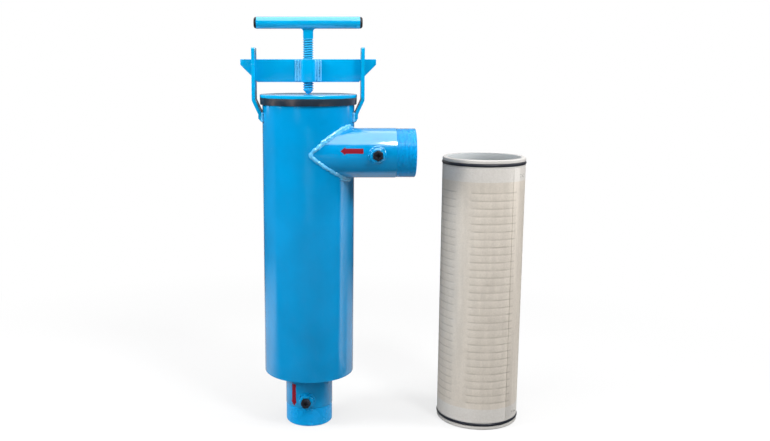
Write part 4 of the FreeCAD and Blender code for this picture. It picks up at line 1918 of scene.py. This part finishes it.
    def oring(self, end: str) -> None:
        """One O-ring in its groove, with the faint parting line of its mould.

        Args:
            end: bottom or top.
        """
        box = NodeBox.of("screen_" + end + "_oring")
        section = box.size.z / 2.0
        middle = box.size.x / 2.0 - section
        profile, corners = [], 24
        for step in range(corners):
            angle = FULL_TURN * step / corners
            radius = section - self.parting if step else section
            profile.append((middle + radius * math.cos(angle), box.middle.z + radius * math.sin(angle)))
        ring = turned(end + "_ring_seal", profile, self.axis, self.steps)
        dressed(ring, "screen", ORING_RUBBER, "screen_" + end + "_oring")

    def cloth(self) -> None:
        """The sleeve of wire cloth, sunk a little over each slot."""
        low, high = self.cloth_box.low.z, self.cloth_box.high.z
        inner = self.radius - self.cloth_wall
        levels = [row + offset * MM for row in self.slots.rows for offset in self.creases]
        levels = [low, low + MM] + levels + [high - MM, high]
        profile = [(inner, low)] + [(self.radius, level) for level in levels] + [(inner, high)]
        sleeve = turned("cloth_sleeve", profile, self.axis, self.cloth_steps)
        self.choose_slot_points(sleeve)
        with editing(sleeve, everything=False):
            bpy.ops.transform.shrink_fatten(value=-self.dent)
        dressed(sleeve, "screen", self.cloth_coat, "screen_mesh")

    def choose_slot_points(self, sleeve: Piece) -> None:
        """Selects the sleeve's outer points that lie over slots.

        Args:
            sleeve: The sleeve.
        """
        with editing(sleeve):
            bpy.ops.mesh.select_all(action="DESELECT")
        slots, rows = self.slots, self.slots.rows
        for vertex in sleeve.data.vertices:
            arm = vertex.co - self.axis.centre
            turn = (math.atan2(arm.x, -arm.y) - slots.turn) / slots.column_step
            off = abs((turn + 0.5) % 1.0 - 0.5) * slots.column_step
            near_row = any(abs(vertex.co.z - row) < MM for row in rows)
            outside = math.hypot(arm.x, arm.y) > self.radius - self.cloth_wall / 2.0
            vertex.select = near_row and outside and off < slots.arc / 2.0

    def seam(self) -> None:
        """The strip where the cloth's ends lap, with the tacks that hold it."""
        box = NodeBox.of("screen_seam_strip")
        low, high = box.low.z, box.high.z
        inner = self.radius + self.seam_gap
        outer = inner + self.seam_wall
        span = self.seam_width / self.radius
        start = math.radians(self.seam_turn) - span / 2.0
        edge = Spindle(self.axis.centre, UP, from_front(start))
        profile = [(inner, low), (outer, low), (outer, high), (inner, high)]
        strip = drawn_line("lap_strip", [edge.at(radius, level) for radius, level in profile])
        with editing(strip):
            bpy.ops.mesh.spin(steps=10, angle=span, center=edge.centre, axis=UP)
            bpy.ops.mesh.select_all(action="SELECT")
            bpy.ops.mesh.fill_holes(sides=0)
        tidy_mesh(strip)
        dressed(eased(strip, self.seam_edge, 2), "screen", self.cloth_coat, "screen_seam_strip")
        draw = random.Random(41)
        clear_selection()
        bpy.ops.mesh.primitive_ico_sphere_add(subdivisions=2, radius=MM,
                                              location=edge.at(inner, low + self.first_tack))
        tacks = named_primitive("lap_tacks")
        settle(tacks)
        with editing(tacks):
            for row in self.tack_rows:
                level = (low if row > 0.0 else high) + row * MM
                for share in self.tack_columns:
                    way = from_front(start + span * share)
                    height = level + draw.uniform(-1.5, 1.5) * MM
                    place = self.axis.centre + way * (outer - self.seam_wall) + UP * height
                    bpy.ops.mesh.primitive_ico_sphere_add(subdivisions=2, radius=draw.uniform(0.9, 1.2) * MM,
                                                          location=place)
                    bpy.ops.transform.resize(value=(1.0, 1.0, draw.uniform(0.5, 0.8)), center_override=place)
                    bpy.ops.transform.translate(value=way * draw.uniform(-0.35, -0.1) * MM)
        dressed(tacks, "screen", TACK_METAL)

    def build(self) -> None:
        """Makes the tube, the collars, the O-rings, the cloth and its seam."""
        self.support_tube()
        for end in ("bottom", "top"):
            self.collar(end)
            self.oring(end)
        self.cloth()
        self.seam()


@dataclass(frozen=True)
class Softbox:
    """A rectangular lamp aimed at a point.

    Attributes:
        name: The lamp's name.
        place: Where it hangs.
        aim: The point that it faces.
        width: Its width.
        height: Its height.
        power: Its power in watts.
        mirrored: Whether it shows in reflections.
    """

    name: str
    place: Vector
    aim: Vector
    width: float
    height: float
    power: float
    mirrored: bool = False

    def hang(self) -> None:
        """Adds the lamp to the scene."""
        lamp = bpy.data.lights.new(self.name, "AREA")
        lamp.shape = "RECTANGLE"
        lamp.size = self.width
        lamp.size_y = self.height
        lamp.energy = self.power
        holder = bpy.data.objects.new(self.name, lamp)
        holder.location = self.place
        holder.rotation_euler = (self.aim - self.place).to_track_quat("-Z", "Y").to_euler()
        holder.visible_glossy = self.mirrored
        bpy.context.scene.collection.objects.link(holder)


@dataclass
class Studio:
    """White floor and backdrop under a large overhead panel, with the camera at the photograph's place.

    Attributes:
        lens: The camera's focal length in millimetres, on a 36 mm sensor.
        camera_place: The camera's place.
        pitch: How far down the camera looks, in degrees.
        breadth: The width of the floor and of the backdrop.
        shift: How far the picture's middle is shifted sideways.
        near_white: How much of the floor's white is its own round the object.
        near: The radius up to which that share holds.
        far: The radius from which the floor is wholly white.
        paper: The floor's grey, which the glow covers.
        bounced: Its grey for light that it throws back on the object.
        mirrored: Its grey in reflections.
        wall: The backdrop's grey.
        wall_glow: How bright the surroundings behind the object are.
        far_glow: How bright they are in reflections.
        floor_glow: How bright the floor behind the object is in reflections, close to it.
        floor_fade: The radii between which that sinks to far_glow.
        front_glow: How bright the surroundings are in front of the object.
        upper_glow: How bright the backdrop's upper part is in reflections.
        glow_low: Where that upper part begins, over the backdrop's middle.
        glow_high: Where it is fully bright.
    """

    lens: float = 41.5
    camera_place: Vector = Vector((0.031, -1.636, 0.677))
    pitch: float = 9.98
    breadth: float = 14.0
    shift: float = 0.0775
    near_white: float = 0.7
    near: float = 0.5
    far: float = 1.3
    paper: Colour = (0.6, 0.6, 0.6)
    bounced: Colour = (0.25, 0.25, 0.25)
    mirrored: Colour = (0.01, 0.01, 0.01)
    wall: Colour = (0.08, 0.08, 0.08)
    wall_glow: float = 0.6
    far_glow: float = 0.05
    floor_glow: float = 0.5
    floor_fade: tuple[float, float] = (0.5, 1.35)
    front_glow: float = 0.0
    upper_glow: float = 0.65
    glow_low: float = -1.35
    glow_high: float = -1.1

    def camera(self) -> None:
        """Places the camera and makes it the scene's."""
        data = bpy.data.cameras.new("camera")
        data.lens = self.lens
        data.sensor_width = 36.0
        data.shift_x = self.shift
        holder = bpy.data.objects.new("camera", data)
        holder.location = self.camera_place
        holder.rotation_euler = (math.radians(90.0 - self.pitch), 0.0, 0.0)
        bpy.context.scene.collection.objects.link(holder)
        bpy.context.scene.camera = holder

    def floor_paper(self) -> Material:
        """Paper for the floor: white to the camera and in reflections, with the object's soft shadow.

        Returns:
            The floor's material.
        """
        sheet = NodeSheet("floor_paper")
        path = sheet.add("LightPath").outputs
        distance = sheet.vector("LENGTH", sheet.place, output="Value")
        own = sheet.ranged(distance, self.near, self.far, self.near_white, 1.0)
        depth = sheet.add("SeparateXYZ", {0: sheet.place}).outputs["Y"]
        mirrored = sheet.times(sheet.ranged(depth, -0.1, 0.1, 0.0, 1.0),
                               sheet.ranged(distance, *self.floor_fade, self.floor_glow, self.far_glow))
        seen = sheet.math("MAXIMUM", sheet.times(path["Is Camera Ray"], own),
                          sheet.times(path["Is Glossy Ray"], mirrored))
        colour = sheet.mixed(path["Is Diffuse Ray"], self.paper, self.bounced)
        colour = sheet.mixed(path["Is Glossy Ray"], colour, self.mirrored)
        return self.part_glowing(sheet, path, seen, colour)

    def wall_paper(self) -> Material:
        """White paper for the backdrop: white to the camera, and dim in reflections.

        Returns:
            The backdrop's material.
        """
        sheet = NodeSheet("wall_paper")
        path = sheet.add("LightPath").outputs
        height = sheet.add("SeparateXYZ", {0: sheet.place}).outputs["Y"]
        upper = sheet.ranged(height, self.glow_low, self.glow_high, self.far_glow, self.upper_glow)
        seen = sheet.math("MAXIMUM", path["Is Camera Ray"], sheet.times(path["Is Glossy Ray"], upper))
        seen = sheet.math("MAXIMUM", seen, sheet.times(path["Is Diffuse Ray"], self.wall_glow))
        return self.part_glowing(sheet, path, seen, (*self.wall, 1.0))

    def part_glowing(self, sheet: NodeSheet, path: object, share: object, colour: object) -> Material:
        """Mixes a matt sheet with a white glow by a share, and wholly for rays that pass through a piece.

        Args:
            sheet: The material's nodes.
            path: The light path's outputs.
            share: How much of the glow shows.
            colour: The matt sheet's colour.

        Returns:
            The finished material.
        """
        share = sheet.math("MAXIMUM", share, path["Is Transmission Ray"])
        sheet.feed(sheet.shader.inputs["Base Color"], colour)
        sheet.feed(sheet.shader.inputs["Roughness"], 0.9)
        sheet.feed(sheet.shader.inputs["Specular IOR Level"], 0.0)
        glow = sheet.add("Emission")
        mix = sheet.add("MixShader", {0: share, 1: sheet.shader.outputs[0], 2: glow.outputs[0]})
        sheet.feed(sheet.tree.nodes["Material Output"].inputs["Surface"], mix.outputs[0])
        return sheet.owner

    def world(self) -> None:
        """Surroundings that are white to the camera, grey behind the object and dark in front of it."""
        sheet = NodeSheet("studio", surroundings=True)
        path = sheet.add("LightPath").outputs
        depth = sheet.add("SeparateXYZ", {0: sheet.place}).outputs["Y"]
        behind = sheet.ranged(depth, -0.1, 0.3, self.front_glow, self.wall_glow)
        dimmed = sheet.ranged(path["Is Glossy Ray"], 0.0, 1.0, 1.0, self.far_glow / self.wall_glow)
        seen = sheet.math("MAXIMUM", path["Is Camera Ray"], path["Is Transmission Ray"])
        sheet.feed(sheet.shader.inputs["Color"], (1.0, 1.0, 1.0, 1.0))
        sheet.feed(sheet.shader.inputs["Strength"], sheet.math("MAXIMUM", sheet.times(behind, dimmed), seen))
        bpy.context.scene.world = sheet.owner

    def stage(self) -> None:
        """The floor and the backdrop."""
        for name, place, turn, paper in (
            ("floor", Vector((0.0, 0.0, -0.0005)), 0.0, self.floor_paper()),
            ("backdrop", Vector((0.0, 3.2, 2.0)), math.radians(90.0), self.wall_paper()),
        ):
            clear_selection()
            bpy.ops.mesh.primitive_plane_add(size=self.breadth, location=place, rotation=(turn, 0.0, 0.0))
            sheet = named_primitive(name)
            sheet.data.materials.append(paper)

    def lamps(self) -> None:
        """The overhead panel and the key lamp, which show in reflections, and four fills, which don't."""
        aim = Vector((0.1, 0.0, 0.35))
        foot = Vector((0.1, 0.0, 0.06))
        under = Vector((0.15, -0.3, 0.0))
        for box in (
            Softbox("overhead", Vector((0.15, -0.3, 2.0)), under, 1.8, 2.7, 26.0, mirrored=True),
            Softbox("key", Vector((0.95, -1.25, 2.0)), aim, 0.4, 0.4, 30.0, mirrored=True),
            Softbox("left", Vector((-1.9, -0.6, 1.3)), aim, 0.8, 0.8, 58.0),
            Softbox("right", Vector((2.1, -0.35, 1.4)), aim, 0.8, 0.8, 40.0),
            Softbox("front", Vector((-1.0, -2.0, 1.1)), aim, 0.6, 0.6, 10.0),
            Softbox("low", Vector((0.1, -1.6, 0.3)), foot, 0.6, 0.3, 5.0),
        ):
            box.hang()

    def build(self) -> None:
        """Sets up the camera, stage, lamps and view transform."""
        self.camera()
        self.stage()
        self.world()
        self.lamps()
        bpy.context.scene.view_settings.view_transform = "Standard"


def main() -> None:
    """Builds the studio and every sub-assembly."""
    logging.basicConfig(level=logging.INFO, format="%(name)s: %(message)s")
    for part in (Studio(), Housing(), InletBranch(), OutletBranch(), Straps(), Lid(), Yoke(), ClampScrew(),
                 ScreenElement()):
        LOG.info("building %s", type(part).__name__)
        part.build()


if __name__ == "__main__":
    main()
